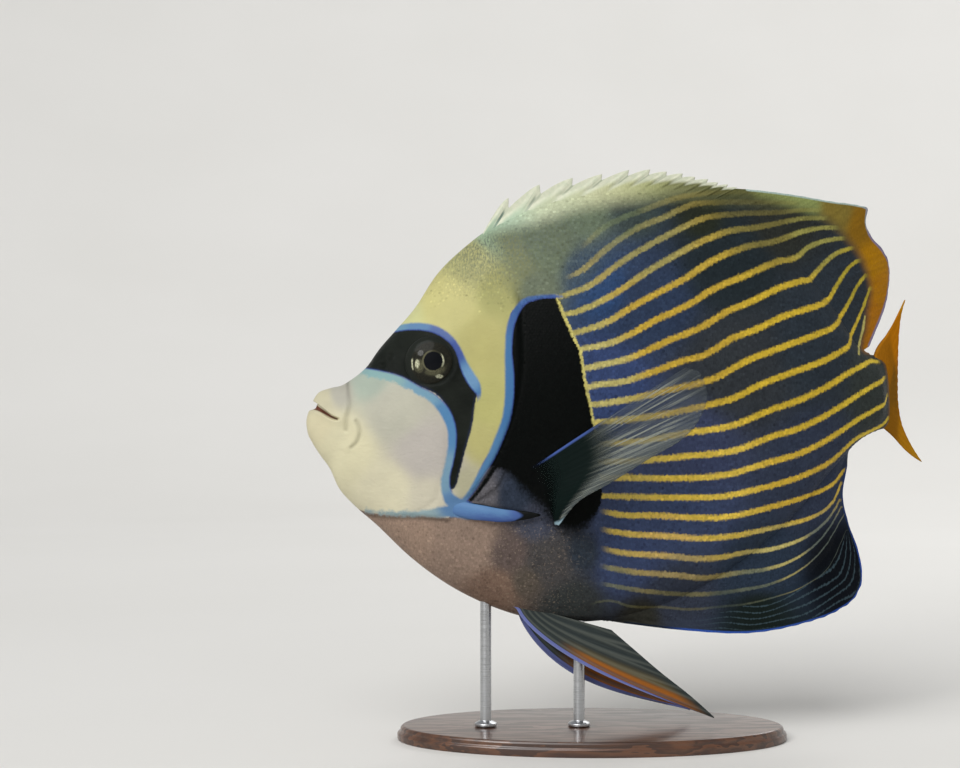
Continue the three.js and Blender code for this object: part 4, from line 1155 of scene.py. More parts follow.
def plates(name, centre, axes, place, sizes, rng, spread=0.6):
    """Thin closed plates, each set by its centre and three directions: a sunk root ahead, a round rear
    edge standing out, and one point below the skin that closes it."""
    back, up, out = axes
    rim = len(PLATE) - 1
    count = len(centre)
    faces = np.array([(0, 1, 2), (0, 2, 6), (2, 3, 6), (3, 5, 6), (3, 4, 5)]
                     + [(k, rim, (k + 1) % rim) for k in range(rim)])
    local_x, local_y, local_z = (np.outer(size * share, column)
                                 for size, share, column in zip(sizes, PLATE_SHARES, np.array(PLATE).T))
    points = (centre[:, None] + local_x[..., None] * back[:, None] + local_y[..., None] * up[:, None]
              + local_z[..., None] * out[:, None]).reshape(-1, 3)
    faces = (faces[None] + len(PLATE) * np.arange(count)[:, None, None]).reshape(-1, 3)
    if len(faces) >= MOST_TRIANGLES:
        raise ValueError(f"{name} has {len(faces)} triangles")
    material = marked_material("fish scales", grain=0.10, bump=0.12)
    piece = new_piece(name, points, outward_each(points, faces, count), material, smooth=False)
    root_a, root_c = (np.repeat(value, len(PLATE)) for value in place)
    a = root_a + spread * (local_x * back_side(back, 0) + local_y * back_side(up, 0)).ravel()
    c = root_c + spread * (local_x * back_side(back, 2) + local_y * back_side(up, 2)).ravel()
    paint(piece.data, a, c, grain=np.repeat(rng.normal(0, 1, count), len(PLATE)))
    set_bake_map(piece.data, root_a / BAKE_SPAN[0] + local_x.ravel() * MM,
                 root_c / BAKE_SPAN[1] + 0.5 + local_y.ravel() * MM)


def outward_each(points, faces, count):
    """The faces of many like closed pieces, turned over if the first piece encloses a negative volume."""
    per = len(faces) // count
    corners = points[faces[:per]] - points[faces[0, 0]]
    volume = np.einsum("ij,ij->i", corners[:, 0], np.cross(corners[:, 1], corners[:, 2])).sum()
    return faces if volume > 0 else faces[:, ::-1]


def set_bake_map(mesh, u, v):
    """The map named OFBake: each scale a patch at its root's place on the flank's unwrap."""
    layer = mesh.uv_layers.new(name="OFBake")
    corner = np.zeros(len(mesh.loops), np.int32)
    mesh.loops.foreach_get("vertex_index", corner)
    layer.data.foreach_set("uv", np.stack([u, v], 1)[corner].astype(np.float32).ravel())


def plate_axes(spot, step, away):
    """Three directions on a surface given by a function of two steps: back, up and, as away, out."""
    back = unit(spot(step, 0) - spot(-step, 0))
    up = spot(0, step) - spot(0, -step)
    up = unit(up - (up * back).sum(1, keepdims=True) * back)
    out = np.cross(back, up)
    return back, up, out * np.sign(np.einsum("ij,ij->i", out, away))[:, None]


def build_scales(side, label):
    """Overlapping scales on one flank, in staggered rows turned to the skin's own directions, in a front
    and a rear piece."""
    sizes = bpy.context.scene.angelfish_sizes
    rng = np.random.default_rng(SEED + side)
    along, tall = sizes.scale_length, sizes.scale_height
    row = np.arange(*SCALED_C, tall)
    a, c = np.meshgrid(np.arange(*SCALED_A, along), row, indexing="ij")
    a = a + np.where(np.arange(len(row)) % 2, along / 2, 0)[None, :]
    a = (a + rng.uniform(-0.2, 0.2, a.shape) * along).ravel()
    c = (c + rng.uniform(-0.16, 0.16, c.shape) * tall).ravel()
    s, t = station_of(a, c)
    level_a, level_c = side_view(s, t)
    inside = (np.hypot(level_a - a, level_c - c) < 0.5) & (np.abs(t) < 0.992)
    to_edge = to_gill_edge(a, c)
    crown = (c + rng.uniform(-CROWN["ragged"], CROWN["ragged"], c.shape) > CROWN["c"]) & (a > CROWN["a"])
    kept = (to_edge < -BARE["gill"]) | (crown & ((to_edge > BARE["nape"]) | (c > CROWN["full"])))
    kept &= inside & (a < curve(STEM_END, 1, c) - BARE["stem"]) & (to_outline(a, c, MASK) > BARE["mask"])
    a, c = a[kept], c[kept]

    def spot(da, dc):
        return bend(a + da, side * on_flank(a + da, c + dc), c + dc)

    axes = plate_axes(spot, 0.25, bend(a, side * 60, c) - bend(a, 0, c))
    size = rng.uniform(0.9, 1.12, len(a)) * (0.75 + 0.25 * ease(0, 22, -to_gill_edge(a, c)))
    lift = sizes.scale_lift * rng.uniform(0.7, 1.3, len(a))
    centre = spot(0, 0)
    for part, chosen in (("front", a < FLANK_SPLIT), ("rear", a >= FLANK_SPLIT)):
        measures = (along * size[chosen], tall * size[chosen], lift[chosen])
        plates(f"scales_{label}_{part}", centre[chosen], [way[chosen] for way in axes],
               (a[chosen], c[chosen]), measures, rng)


def ray_line(table, v):
    """A ray's root as a and c, its way to the margin, and its length."""
    root_a, root_c, edge_a, edge_c = (curve(table, k, v) for k in (1, 2, 3, 4))
    way_a, way_c = edge_a - root_a, edge_c - root_c
    return root_a, root_c, way_a, way_c, np.hypot(way_a, way_c)


def build_fin_scales(name, table, place, half, reach):
    """Scales on the fleshy foot of a fin, both sides in one piece, in rows along the rays."""
    sizes = bpy.context.scene.angelfish_sizes
    rng = np.random.default_rng(SEED)
    along, tall = 0.85 * sizes.scale_length, 0.85 * sizes.scale_height
    root = np.stack(ray_line(table, np.linspace(0, 1, 60))[:2], 1)
    rays = int(1.75 * np.hypot(*np.diff(root, axis=0).T).sum() / tall)
    u_all, v_all = [], []
    for k in range(1, rays):
        length = ray_line(table, k / rays)[4]
        rows = max(1, int(reach * length / along))
        u_all.append((np.arange(rows) + 0.5 * (k % 2)) * along / length + rng.uniform(-0.15, 0.15, rows)
                     * along / length)
        v_all.append(np.full(rows, k / rays))
    u, v = np.clip(np.concatenate(u_all), 0.01, 0.97), np.concatenate(v_all)
    step = 0.004

    def sheet(du, dv, side=0.0):
        middle = joined(*place(u + du, v + dv))
        tangent = np.cross(joined(*place(u + du + step, v + dv)) - middle,
                           joined(*place(u + du, v + dv + step)) - middle)
        return bend(*(middle + side * half(u + du, v + dv)[:, None] * unit(tangent)).T)

    groups = []
    for side in (-1, 1):
        centre = sheet(0, 0, side)
        axes = plate_axes(lambda du, dv: sheet(du, dv, side), step, centre - sheet(0, 0))
        groups.append((centre, *axes))
    centre, *axes = (np.concatenate(parts) for parts in zip(*groups))
    flat_a, flat_c = (np.tile(part, 2) for part in place(u, v)[::2])
    count = len(centre)
    size = rng.uniform(0.85, 1.1, count)
    lift = 0.7 * sizes.scale_lift * rng.uniform(0.7, 1.3, count)
    plates(name, centre, axes, (flat_a, flat_c), (along * size, tall * size, lift), rng, 1.0)


# Fins


def fin_mesh(u, v, place, half):
    """A closed fin: its middle surface moved both ways along its normal by half its thickness. It gives
    the flat points, the bent ones, the faces, and each point's u and v."""
    u, v = np.meshgrid(u, v, indexing="ij")
    middle = joined(*place(u, v))
    normal = np.cross(np.gradient(middle, axis=0), np.gradient(middle, axis=1))
    normal /= np.linalg.norm(normal, axis=-1, keepdims=True) + 1e-12
    thick = half(u, v)[..., None]
    flat = np.stack([middle + normal * thick, middle - normal * thick]).reshape(-1, 3)
    rows, columns = u.shape
    front = grid_faces(rows, columns)
    other = rows * columns
    index = np.arange(other).reshape(rows, columns)
    loop = np.concatenate([index[0, :-1], index[:-1, -1], index[-1, :0:-1], index[:0:-1, 0]])
    after = np.roll(loop, -1)
    faces = np.concatenate([
        front, front[:, ::-1] + other,
        np.stack([after, loop, loop + other], 1), np.stack([after, loop + other, after + other], 1),
    ])
    points = bend(*flat.T)
    return flat, points, outward(points, faces), np.tile(u.ravel(), 2), np.tile(v.ravel(), 2)


def ray_height(u, v, rays, split=0.4):
    """1 on a ray and 0 between rays. Past the split each ray parts evenly into two branches."""
    across = v * (rays - 1)
    off = np.abs(across - np.round(across))
    apart = 0.24 * ease(split, 1, u)
    near = np.minimum(np.abs(off - apart), np.abs(off + apart))
    reach = 0.34 - 0.2 * ease(split, 1, u)
    return np.maximum(0, 1 - (near / reach) ** 2) ** 2


def soft_half(rays, root, membrane, ridge, flesh_to=0.45, split=0.4):
    """Half thickness of a soft fin: fleshy at the root, thin at the margin, with rays raised on it."""
    def half(u, v):
        flesh = (root - membrane) * (1 - ease(0, flesh_to, u))
        raised = ridge * ray_height(u, v, rays, split) * ease(0.05, 0.5, u) * (1.2 - 0.8 * u)
        return membrane + flesh + raised
    return half


def median_place(table, scallop=0.0, rays=20):
    """A median fin's middle surface: straight rays from inside the body to the margin."""
    def place(u, v):
        root_a, root_c, way_a, way_c, length = ray_line(table, v)
        inward = ROOT_DEPTH / length
        notch = scallop * (1 - ray_height(u * 0, v, rays)) * u**6
        reach = -inward + (1 + inward) * u - notch
        return root_a + way_a * reach, 0 * u, root_c + way_c * reach

    return place


def margin_distance(flat, table):
    """Distance from each point to the fin's margin, in side view."""
    v = np.linspace(0, 1, 60)
    return to_line(flat[:, 0], flat[:, 2], np.stack([curve(table, 3, v), curve(table, 4, v)], 1))


def build_soft_fin(name, table, rays, rows, half, material, node, place=None, zones=None,
                   contour=False, edge=None, scaled=0.0):
    """A soft median fin with raised, branching rays and the body's marks carried on to it. edge gives
    the margin's colour at each a and c, and scaled the share of its height that has scales."""
    u = np.linspace(0, 1, rows)
    v = np.linspace(table[0][0], 1, RAY_POINTS * (rays - 1) + 1)
    place = place or median_place(table, scallop=0.008, rays=rays)
    flat, points, faces, u_all, v_all = fin_mesh(u, v, place, half)
    piece = new_piece(name, points, faces, material)
    a, c = flat[:, 0], flat[:, 2]
    margin = margin_distance(flat, table)
    marks = {"body_zones": zones}
    if contour:
        waves = 0.3 * np.sin(a / 9 + c / 15) + 0.2 * np.sin(a / 4.3 - c / 5)
        inner = to_curve(a, c, STRIPES[-1][2])
        below = ease(len(STRIPES) - 1.1, len(STRIPES) - 0.95, stripe_phase(a, c))
        share = below * ease(0.8, 2.2, margin) * ease(160, 205, a) * ease(2, 8, inner + margin)
        marks["contour"] = (CONTOURS * inner / (inner + margin + 1e-6) + waves, 0.62 * share)
    if edge:
        margin = margin / (1 + 0.8 * ease(262, 268, a) * ease(0, 40, c))
        marks["edge_colour"] = edge(a, c)
    ray = ray_height(u_all, v_all, rays) * ease(0.1, 0.5, u_all)
    paint(piece.data, a, c, margin=margin, ray=ray, **marks)
    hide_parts(node)
    if scaled:
        build_fin_scales(f"{name}_scales", table, place, half, scaled)


def spiny_notch(v):
    """How far the membrane's margin lies below the spine tips: deep just behind a spine, rising to the
    next."""
    spine = v * (len(DORSAL_SPINES) - 1)
    past = spine - np.floor(spine + 1e-6)
    depth = 0.52 + (0.17 - 0.52) * ease(0, 0.65, v)
    notch = np.where(past < 0.3, depth * past / 0.3, depth * np.maximum(0, (1 - past) / 0.7) ** 1.8)
    return np.where(v < 0, (np.minimum(0, spine) / FIRST_LOBE) ** 3, notch)


def build_spiny_dorsal():
    """The spiny back fin: pointed spines raised on a membrane that is notched behind each of them."""
    back = [(i, base, float(curve(LINES, 2, base)), tip_a, tip_c)
            for i, (base, tip_a, tip_c) in enumerate([DORSAL_START, *DORSAL_SPINES], start=-1)]
    count = len(DORSAL_SPINES) - 1

    def place(u, v):
        root_a, root_c, way_a, way_c, length = ray_line(back, v * count)
        inward = ROOT_DEPTH / length
        reach = -inward + (1 - spiny_notch(v) + inward) * u
        return root_a + way_a * reach, 0 * u, root_c + way_c * reach

    def half(u, v):
        off = np.abs(v * count - np.round(v * count))
        stout = 1.25 * (1 - 0.7 * u) * np.sqrt(np.maximum(0, 1 - (off / 0.22) ** 2))
        return np.maximum(stout, 2.2 - 1.9 * ease(0, 0.6, u))

    lobes = [np.linspace(i, i + 1, 17)[:-1] for i in range(count)]
    v = np.concatenate([np.linspace(FIRST_LOBE, 0, 8)[:-1], *lobes, [count]]) / count
    flat, points, faces, u_all, v_all = fin_mesh(np.linspace(0, 1, 26), v, place, half)
    piece = new_piece("dorsal_spines", points, faces, material_of("pale spines", fill_spines))
    past = v_all * count - np.floor(v_all * count + 1e-6)
    paint(piece.data, flat[:, 0], flat[:, 2])
    below = (1 - u_all) * (1 - spiny_notch(v_all)) * ray_line(back, v_all * count)[4]
    pale = ease(1.1, 0.45, below / (10 - 8 * ease(0.1, 1, v_all)))
    set_attribute(piece.data, "spine", pale, past, v_all)
    set_attribute(piece.data, "reach", u_all)
    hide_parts("dorsal_fin_spiny")


def fill_spines(tree, colours):
    """Cream spines that fade into the back's colour, painted shade where one lobe overlaps the next,
    and dark membrane behind the first two."""
    flat = tree.attribute("flat", "Vector")
    reach = tree.attribute("reach")
    pale, past, v = tree.parts("spine")
    # Painted shade: a soft dark line from each notch down the lobe, where one lobe overlaps the next.
    lobe_shade_share = abs(past - 0.3).smooth(0.09, 0.02) * v.smooth(0.0, 0.2, 0.1, 0.6)
    lobe_shade_share = lobe_shade_share * v.smooth(0.35, 0.75, 1.0, 0.25) * reach.smooth(0.45, 0.75)
    behind = past.smooth(0.1, 0.15) * past.smooth(0.28, 0.24) * reach.smooth(0.85, 0.65)
    shown = tree.layers(
        colours.spine,
        (tree.noise(flat, 0.5, 3.0).smooth(0.3, 0.7, 0, 0.6), colours.spine_shade),
        (lobe_shade_share, colours.spine_seam),
        (behind * v.smooth(0.15, 0.05, 0.0, 0.9), colours.membrane),
    )
    back = tree.values("ShaderNodeGroup", node_tree=markings_group())["Colour"]
    return {
        "Base Color": tree.mix(pale, back, shown), "Roughness": 0.5, "Specular IOR Level": 0.1,
        "Normal": tree.bump(tree.noise(flat, 1.0), 0.15, 0.0004),
    }


def tail_place(u, v):
    """The tail fin's middle surface: rays from the stem's end, of which the upper ones rise early."""
    root_a, root_c, way_a, way_c, length = ray_line(TAIL_FIN, v)
    inward = ROOT_DEPTH / length
    reach = -inward + (1 + inward) * u
    power = 0.6 + 0.4 * ease(0, 0.5, v)
    rise = np.where(reach > 0, np.abs(reach) ** power, reach)
    return root_a + way_a * reach, 0 * u, root_c + way_c * rise


def tail_half(u, v):
    """Half thickness of the tail fin: a soft fin's, thinned at the root of its outer rays."""
    flat = soft_half(17, 2.3, 0.28, 0.26, 0.4)(u, v)
    return flat * (1 - 0.6 * np.abs(2 * v - 1) ** 3 * (1 - u))


def paired_place(table, side, root_b, swing, inward, bow=0.0):
    """A paired fin's middle surface: rays leave the body along the skin and swing out to the margin."""
    def place(u, v):
        root_a, root_c, edge_a, edge_b, edge_c = (curve(table, k, v) for k in (1, 2, 3, 4, 5))
        start_b = root_b(root_a, root_c)
        reach = -inward + (1 + inward) * u
        out = np.sign(reach) * np.abs(reach) ** swing
        sag = bow * (1 - v) * np.sin(np.pi * np.maximum(0, reach) ** 0.6)
        return (root_a + (edge_a - root_a) * reach, -side * (start_b + (edge_b - start_b) * out),
                root_c + (edge_c - root_c) * reach - sag)
    return place


def build_paired_fin(kind, label, fill, u, v, place, half, rays, split):
    """A paired fin, with each point's u, v and height on a ray kept for its material."""
    _, points, faces, u_all, v_all = fin_mesh(u, v, place, half)
    piece = new_piece(f"{kind}_{label}", points, faces, material_of(f"{kind} membrane", fill))
    set_attribute(piece.data, "fan", u_all, v_all, ray_height(u_all, v_all, rays, split))
    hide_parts(f"{kind}_fin_{label}")


def build_pectoral(side, label):
    """A pectoral fin: a translucent fan of branching rays on a fleshy base."""
    rays = 17
    place = paired_place(PECTORAL_FIN, side, lambda a, c: -half_width(*station_of(a, c)) - 0.2, 1.0, 0.06)
    soft = soft_half(rays, 2.6, 0.15, 0.16, 0.45, 0.3)

    def half(u, v):
        risen = 0.15 + 0.85 * ease(-0.02, 0.2, u)
        return soft(u, v) * (1 - 0.5 * np.abs(2 * v - 1) ** 4) * risen

    v = np.linspace(0, 1, 9 * (rays - 1) + 1)
    build_paired_fin("pectoral", label, fill_pectoral, np.linspace(0, 1, 64), v, place, half,
                     rays, 0.3)


def fill_pectoral(tree, colours):
    """Smoky blue-grey membrane that lets the flank show through its outer half and is clear at the very
    root, with pale rays, a dark base, a blue front edge and a pale lower edge."""
    u, v, ray = tree.parts("fan")
    fan = tree.attribute("fan", "Vector")
    streak = tree.noise(fan, 1.0, 3.0, stretch=(3, 60, 1))
    fine = tree.noise(fan, 1.0, stretch=(1.4, 64, 1)).smooth(0.48, 0.62) * u.smooth(0.98, 0.8, 0.15, 1.0)
    base = (u + streak * 0.12).smooth(0.62, 0.4)
    lead = v.smooth(0.04, 0.015) * u.smooth(0.52, 0.36) * u.smooth(0.02, 0.2)
    low = v.smooth(0.95, 0.985)
    colour = tree.layers(
        colours.fan,
        (streak.smooth(0.3, 0.7, 0, 1), colours.fan_shade),
        (ray * v.smooth(0.15, 0.5, 0.1, 0.3), colours.fan_ray),
        (fine * v.smooth(0.95, 0.4, 0.3, 0.6), colours.fan_ray),
        (base, colours.fan_base),
        (lead, colours.fan_lead),
        (low * 0.8, colours.fan_edge),
    )
    solid = base.most(v.smooth(0.15, 0.6, 0.0, 0.6)).most(fine * 0.5).most(lead.most(low))
    alpha = (solid * 0.86).math("ADD", 0.14, use_clamp=True)
    root = u.smooth(0.04, 0.2).most(lead.most(low * 0.9))
    return {
        "Base Color": colour, "Alpha": alpha * root, "Roughness": 0.6, "Specular IOR Level": 0.03,
        "Normal": tree.bump(streak, 0.3, 0.0004),
    }


def build_pelvic(side, label):
    """A pelvic fin: a stout front spine and five branching rays drawn out to a point."""
    rays = 6
    drop = PELVIC_DROP[label]
    table = [(v, ra, rc, a - 2 * drop, b, c - drop) for v, ra, rc, a, b, c in PELVIC_FIN]
    place = paired_place(table, side, lambda a, c: a * 0 + PELVIC_ROOT_B, 1, 0.03, PELVIC_BOW[label])
    soft = soft_half(rays, 1.5, 0.22, 0.34, 0.3, 0.5)

    def half(u, v):
        spine = (1.25 - 0.85 * u) * np.sqrt(np.maximum(0, 1 - (v / 0.07) ** 2))
        return np.maximum(soft(u, v), spine)

    v = np.concatenate([np.linspace(0, 0.1, 9)[:-1], np.linspace(0.1, 1, 55)])
    build_paired_fin("pelvic", label, fill_pelvic, np.linspace(0, 1, 80), v, place, half,
                     rays, 0.5)


def fill_pelvic(tree, colours):
    """Periwinkle front spine, an orange and brown band behind it, then blue-grey membrane."""
    u, v, ray = tree.parts("fan")
    streak = tree.noise(tree.attribute("fan", "Vector"), 1.0, 3.0, stretch=(4, 40, 1))
    late = u.smooth(0.2, 0.45) * u.smooth(0.99, 0.82)
    core = abs(v - 0.22).smooth(0.06, 0.02) * late
    colour = tree.layers(
        colours.pelvic_grey,
        (streak.smooth(0.3, 0.7), colours.pelvic_shade),
        (v.smooth(0.56, 0.38) * late, colours.pelvic_ochre),
        (v.smooth(0.38, 0.3) * late, colours.pelvic_orange),
        (core * 0.8, colours.pelvic_brown),
        (v.smooth(0.15, 0.12), colours.pelvic_blue),
        (ray * 0.12, colours.fan_ray),
    )
    return {
        "Base Color": colour, "Roughness": 0.55, "Specular IOR Level": 0.05,
        "Normal": tree.bump(streak, 0.3, 0.0004),
    }


# Cheek spines and eyes


def build_cheek_spine(side, label):
    """The cheek spine: flat oval rings along a line that leaves the gill cover's corner."""
    share = np.linspace(0, 1, 40)
    a, c, tall, thick, off = (curve(CHEEK_SPINE, k, share)[:, None] for k in (1, 2, 3, 4, 5))
    b = half_width(*station_of(a, c)) + off
    turn = np.linspace(0, 2 * np.pi, 28, endpoint=False)
    flat = tube_points(joined(a, side * (b + thick * np.cos(turn)), c + tall * np.sin(turn)))
    points = bend(*flat.T)
    faces = outward(points, tube_faces(len(share), len(turn)))
    material = material_of("cheek spine", fill_cheek_spine)
    piece = new_piece(f"cheek_spine_{label}", points, faces, material)
    level = np.concatenate([np.repeat(share, len(turn)), [0, 1]])
    height = np.concatenate([np.tile(np.sin(turn), len(share)), [0, 0]])
    set_attribute(piece.data, "flat", *flat.T)
    set_attribute(piece.data, "blade", level, height, 0)


def fill_cheek_spine(tree, colours):
    """Blue blade, deeper below and towards its end, with a black upper edge and a black tip."""
    along, height, _ = tree.parts("blade")
    fine = tree.noise(tree.attribute("flat", "Vector"), 1.2, stretch=(0.3, 1, 1))
    deep = (height + (fine - 0.5) * 0.8).smooth(0.4, -0.8) * along.smooth(0.2, 0.6, 0.25, 0.8)
    colour = tree.layers(
        colours.line,
        (deep.most(along.smooth(0.7, 0.84, 0, 0.75)), colours.line_edge),
        ((along + height * height * 0.07).smooth(0.85, 0.9), colours.patch),
        (height.smooth(0.82, 0.97) * along.smooth(0.25, 0.4), colours.patch),
    )
    return {
        "Base Color": colour, "Roughness": 0.45, "Specular IOR Level": 0.12,
        "Normal": tree.bump(fine, 0.2, 0.0003),
    }


def build_eye(side, label):
    """The eye: a flat dome turned round its axis, with a slight swelling over the pupil."""
    rings, around = 40, 64
    radius = EYE["radius"] * np.sin(np.linspace(0, np.pi / 2, rings))
    front = EYE["depth"] * np.sqrt(np.maximum(0, 1 - (radius / EYE["radius"]) ** 2))
    front = front + 0.35 * bell(radius, 5.5) * (front > 0.5)
    inner = radius[-2:0:-1]
    profile_r = np.concatenate([radius[1:], inner])[:, None]
    behind = -EYE["depth"] * np.sqrt(1 - (inner / EYE["radius"]) ** 2)
    profile_h = np.concatenate([front[1:], behind])[:, None]
    turn = np.linspace(0, 2 * np.pi, around, endpoint=False)
    centre = float(half_width(*station_of(EYE["a"], EYE["c"]))) + eye_bulge() - EYE["sunk"]
    flat = tube_points(joined(EYE["a"] + profile_r * np.cos(turn), side * (centre + profile_h),
                              EYE["c"] + profile_r * np.sin(turn)))
    flat[-2] = [EYE["a"], side * (centre + front[0]), EYE["c"]]
    flat[-1] = [EYE["a"], side * (centre - EYE["depth"]), EYE["c"]]
    points = bend(*flat.T)
    faces = outward(points, tube_faces(len(profile_r), around))
    piece = new_piece(f"eye_{label}_ball", points, faces, material_of("wet eye", fill_eye))
    x, z = flat[:, 0] - EYE["a"], flat[:, 2] - EYE["c"]
    set_attribute(piece.data, "iris", x, z, np.hypot(x, z))
    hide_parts(f"eye_{label}")


def eye_bulge():
    """How far the eye's surroundings swell out over the plain lens of the body."""
    t = station_of(EYE["a"], EYE["c"])[1]
    return EYE["swell"] * float(np.sqrt(1 - t * t))


def fill_eye(tree, colours):
    """A black pupil in a thin ring, a dark iris with a haze below it, painted highlights ahead of it and
    on the ring's right, and a wet, clear coat."""
    x, z, radius = tree.parts("iris")
    fine = tree.noise(tree.attribute("iris", "Vector"), 1.3, 3.0, 0.6)
    wobble = (fine - 0.5) * 0.5

    def spot(centre_x, centre_z, wide, tall):
        across, up = (x - centre_x) / wide, (z - centre_z) / tall
        return (across * across + up * up).smooth(1.0, 0.25)

    pupil_x, pupil_z = x - PUPIL[0], z - PUPIL[1]
    from_pupil = (pupil_x * pupil_x + pupil_z * pupil_z).math("SQRT") + wobble
    haze = from_pupil.smooth(7.4, 5.2) * (z - x).smooth(1.0, -2.5) * z.smooth(0.0, -3.5)
    haze = haze.most(spot(-5.6, -1.4, 2.6, 3.6))
    ring = abs(from_pupil - 4.5).smooth(0.55, 0.15)
    # Painted highlights: an arc and spots ahead of the pupil, a spot below it and the ring's right side.
    arc = abs(radius - (wobble + 8.7)).smooth(0.5, 0.15) * spot(-8.8, -0.6, 2, 3)
    bright = spot(-6.4, -0.4, 1.2, 2.3).most(arc).most(spot(3.3, -5.9, 2, 1.1) * 0.7)
    bright = bright.most(ring * (pupil_x.smooth(3.0, 4.2) * pupil_z.smooth(-3.2, -1.0)))
    colour = tree.layers(
        colours.iris,
        (fine.smooth(0.35, 0.7), colours.iris_haze),
        (haze * fine.smooth(0.3, 0.7, 0.3, 0.9), colours.gold),
        (ring * pupil_x.smooth(1.5, -3.5, 0.15, 0.8), colours.gold),
        (bright * fine.smooth(0.35, 0.6, 0.3, 1.0), colours.glint),
        (from_pupil.smooth(4.25, 3.95), colours.pupil),
        (radius.smooth(8.9, 9.5), colours.mask),
    )
    return {
        "Base Color": colour, "Roughness": 0.5, "Coat Weight": 0.12, "Coat Roughness": 0.08,
        "Specular IOR Level": 0.04,
    }


# Stand and studio


def lathe(profile, centre, sides=96, oval=1.0):
    """Points and faces of a profile of radius and height pairs turned round a vertical axis, and the
    depth scaled to an oval."""
    radius, height = np.asarray(profile, float).T[..., None]
    turn = np.linspace(0, 2 * np.pi, sides, endpoint=False)
    points = tube_points(joined(centre[0] + radius * np.cos(turn),
                                centre[1] + oval * radius * np.sin(turn), height))
    return points, outward(points, tube_faces(len(profile), sides))


def rounded(points, radius, steps=6):
    """A profile whose inner corners are rounded by short arcs of the given radius."""
    points = np.asarray(points, float)
    out = [points[0]]
    for before, corner, after in zip(points[:-2], points[1:-1], points[2:]):
        to_before, to_after = before - corner, after - corner
        reach = min(radius, np.linalg.norm(to_before) * 0.45, np.linalg.norm(to_after) * 0.45)
        start = corner + to_before / np.linalg.norm(to_before) * reach
        end = corner + to_after / np.linalg.norm(to_after) * reach
        for share in np.linspace(0, 1, steps):
            out.append(start * (1 - share) ** 2 + 2 * corner * share * (1 - share) + end * share**2)
    return np.array([*out, points[-1]])


def build_stand():
    """The display stand: an oval wooden base with a moulded edge, and two steel rods with collars."""
    base_low, base_high = (np.array(corner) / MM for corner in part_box("stand_base"))
    long, deep, tall = (base_high - base_low) / (2, 2, 1)
    edge = [(0.01, 0), (long - 0.4, 0), (long, 0.6), (long, tall * 0.5), (long - 1.4, tall * 0.62),
            (long - 1.4, tall - 1.0), (long - 2.6, tall), (0.01, tall)]
    points, faces = lathe(rounded(edge, 1.0), (0, 0), 160, deep / long)
    piece = new_piece("base_wood", points, faces, material_of("stained wood", fill_wood))
    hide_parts("stand_base")
    for label in ("front", "rear"):
        low, high = (np.array(corner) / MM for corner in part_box(f"stand_rod_{label}"))
        centre = (low + high)[:2] / 2
        collar, rod = (high - low)[0] / 2, (high - low)[0] / 4
        seat = tall + 0.3
        profile = [(0.01, low[2]), (rod, low[2]), (rod, seat), (collar, seat), (collar, seat + 1.3),
                   (rod + 0.8, seat + 2.2), (rod, seat + 2.4), (rod, high[2]), (0.01, high[2])]
        points, faces = lathe(rounded(profile, 0.35, 4), centre, 40)
        material = material_of("brushed steel", fill_steel)
        piece = new_piece(f"rod_{label}", points, faces, material)
        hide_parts(f"stand_rod_{label}")


def fill_wood(tree, colours):
    """Dark stained wood: long grain lines and fine pores along X under a satin varnish."""
    place = tree.value("ShaderNodeTexCoord", output="Object")
    rings = tree.noise(place, 1.4, 4.0, 0.6, stretch=(6, 60, 60))
    pores = tree.noise(place, 1.0, stretch=(40, 900, 900))
    grain = (rings * 7.0).math("FRACT").smooth(0.1, 0.95)
    colour = tree.layers(
        colours.wood_dark,
        (grain, colours.wood),
        (pores.smooth(0.62, 0.75, 0, 0.6), colours.wood_pore),
    )
    return {
        "Base Color": colour, "Roughness": grain.smooth(0, 1, 0.42, 0.32), "Coat Weight": 0.5,
        "Coat Roughness": 0.18, "Normal": tree.bump(grain * 0.2 - pores, 0.15, 0.0003),
    }


def fill_steel(tree, colours):
    """Brushed steel: fine marks round the rod."""
    place = tree.value("ShaderNodeTexCoord", output="Object")
    marks = tree.noise(place, 1.0, stretch=(60, 60, 5000))
    return {
        "Base Color": tree.mix(marks, colours.steel, colours.steel_light), "Metallic": 1.0,
        "Roughness": marks.smooth(0.2, 0.8, 0.24, 0.4), "Normal": tree.bump(marks, 0.1, 0.0001),
    }


def add_object(name, data):
    """A new object of the scene with the given data."""
    made = bpy.data.objects.new(name, data)
    bpy.context.scene.collection.objects.link(made)
    return made


def add_light(kind, name, place, energy, size):
    """A lamp at a place in metres, turned to the middle of the model."""
    light = bpy.data.lights.new(name, kind)
    light.energy = energy
    if kind == "SUN":
        light.angle = size
    else:
        light.shape, light.size = "DISK", size
    lamp = add_object(name, light)
    lamp.location = place
    target = np.array([0.0, 0.0, 0.15]) - place
    lamp.rotation_euler = (math.atan2(np.hypot(*target[:2]), -target[2]), 0,
                           math.atan2(target[1], target[0]) - math.pi / 2)


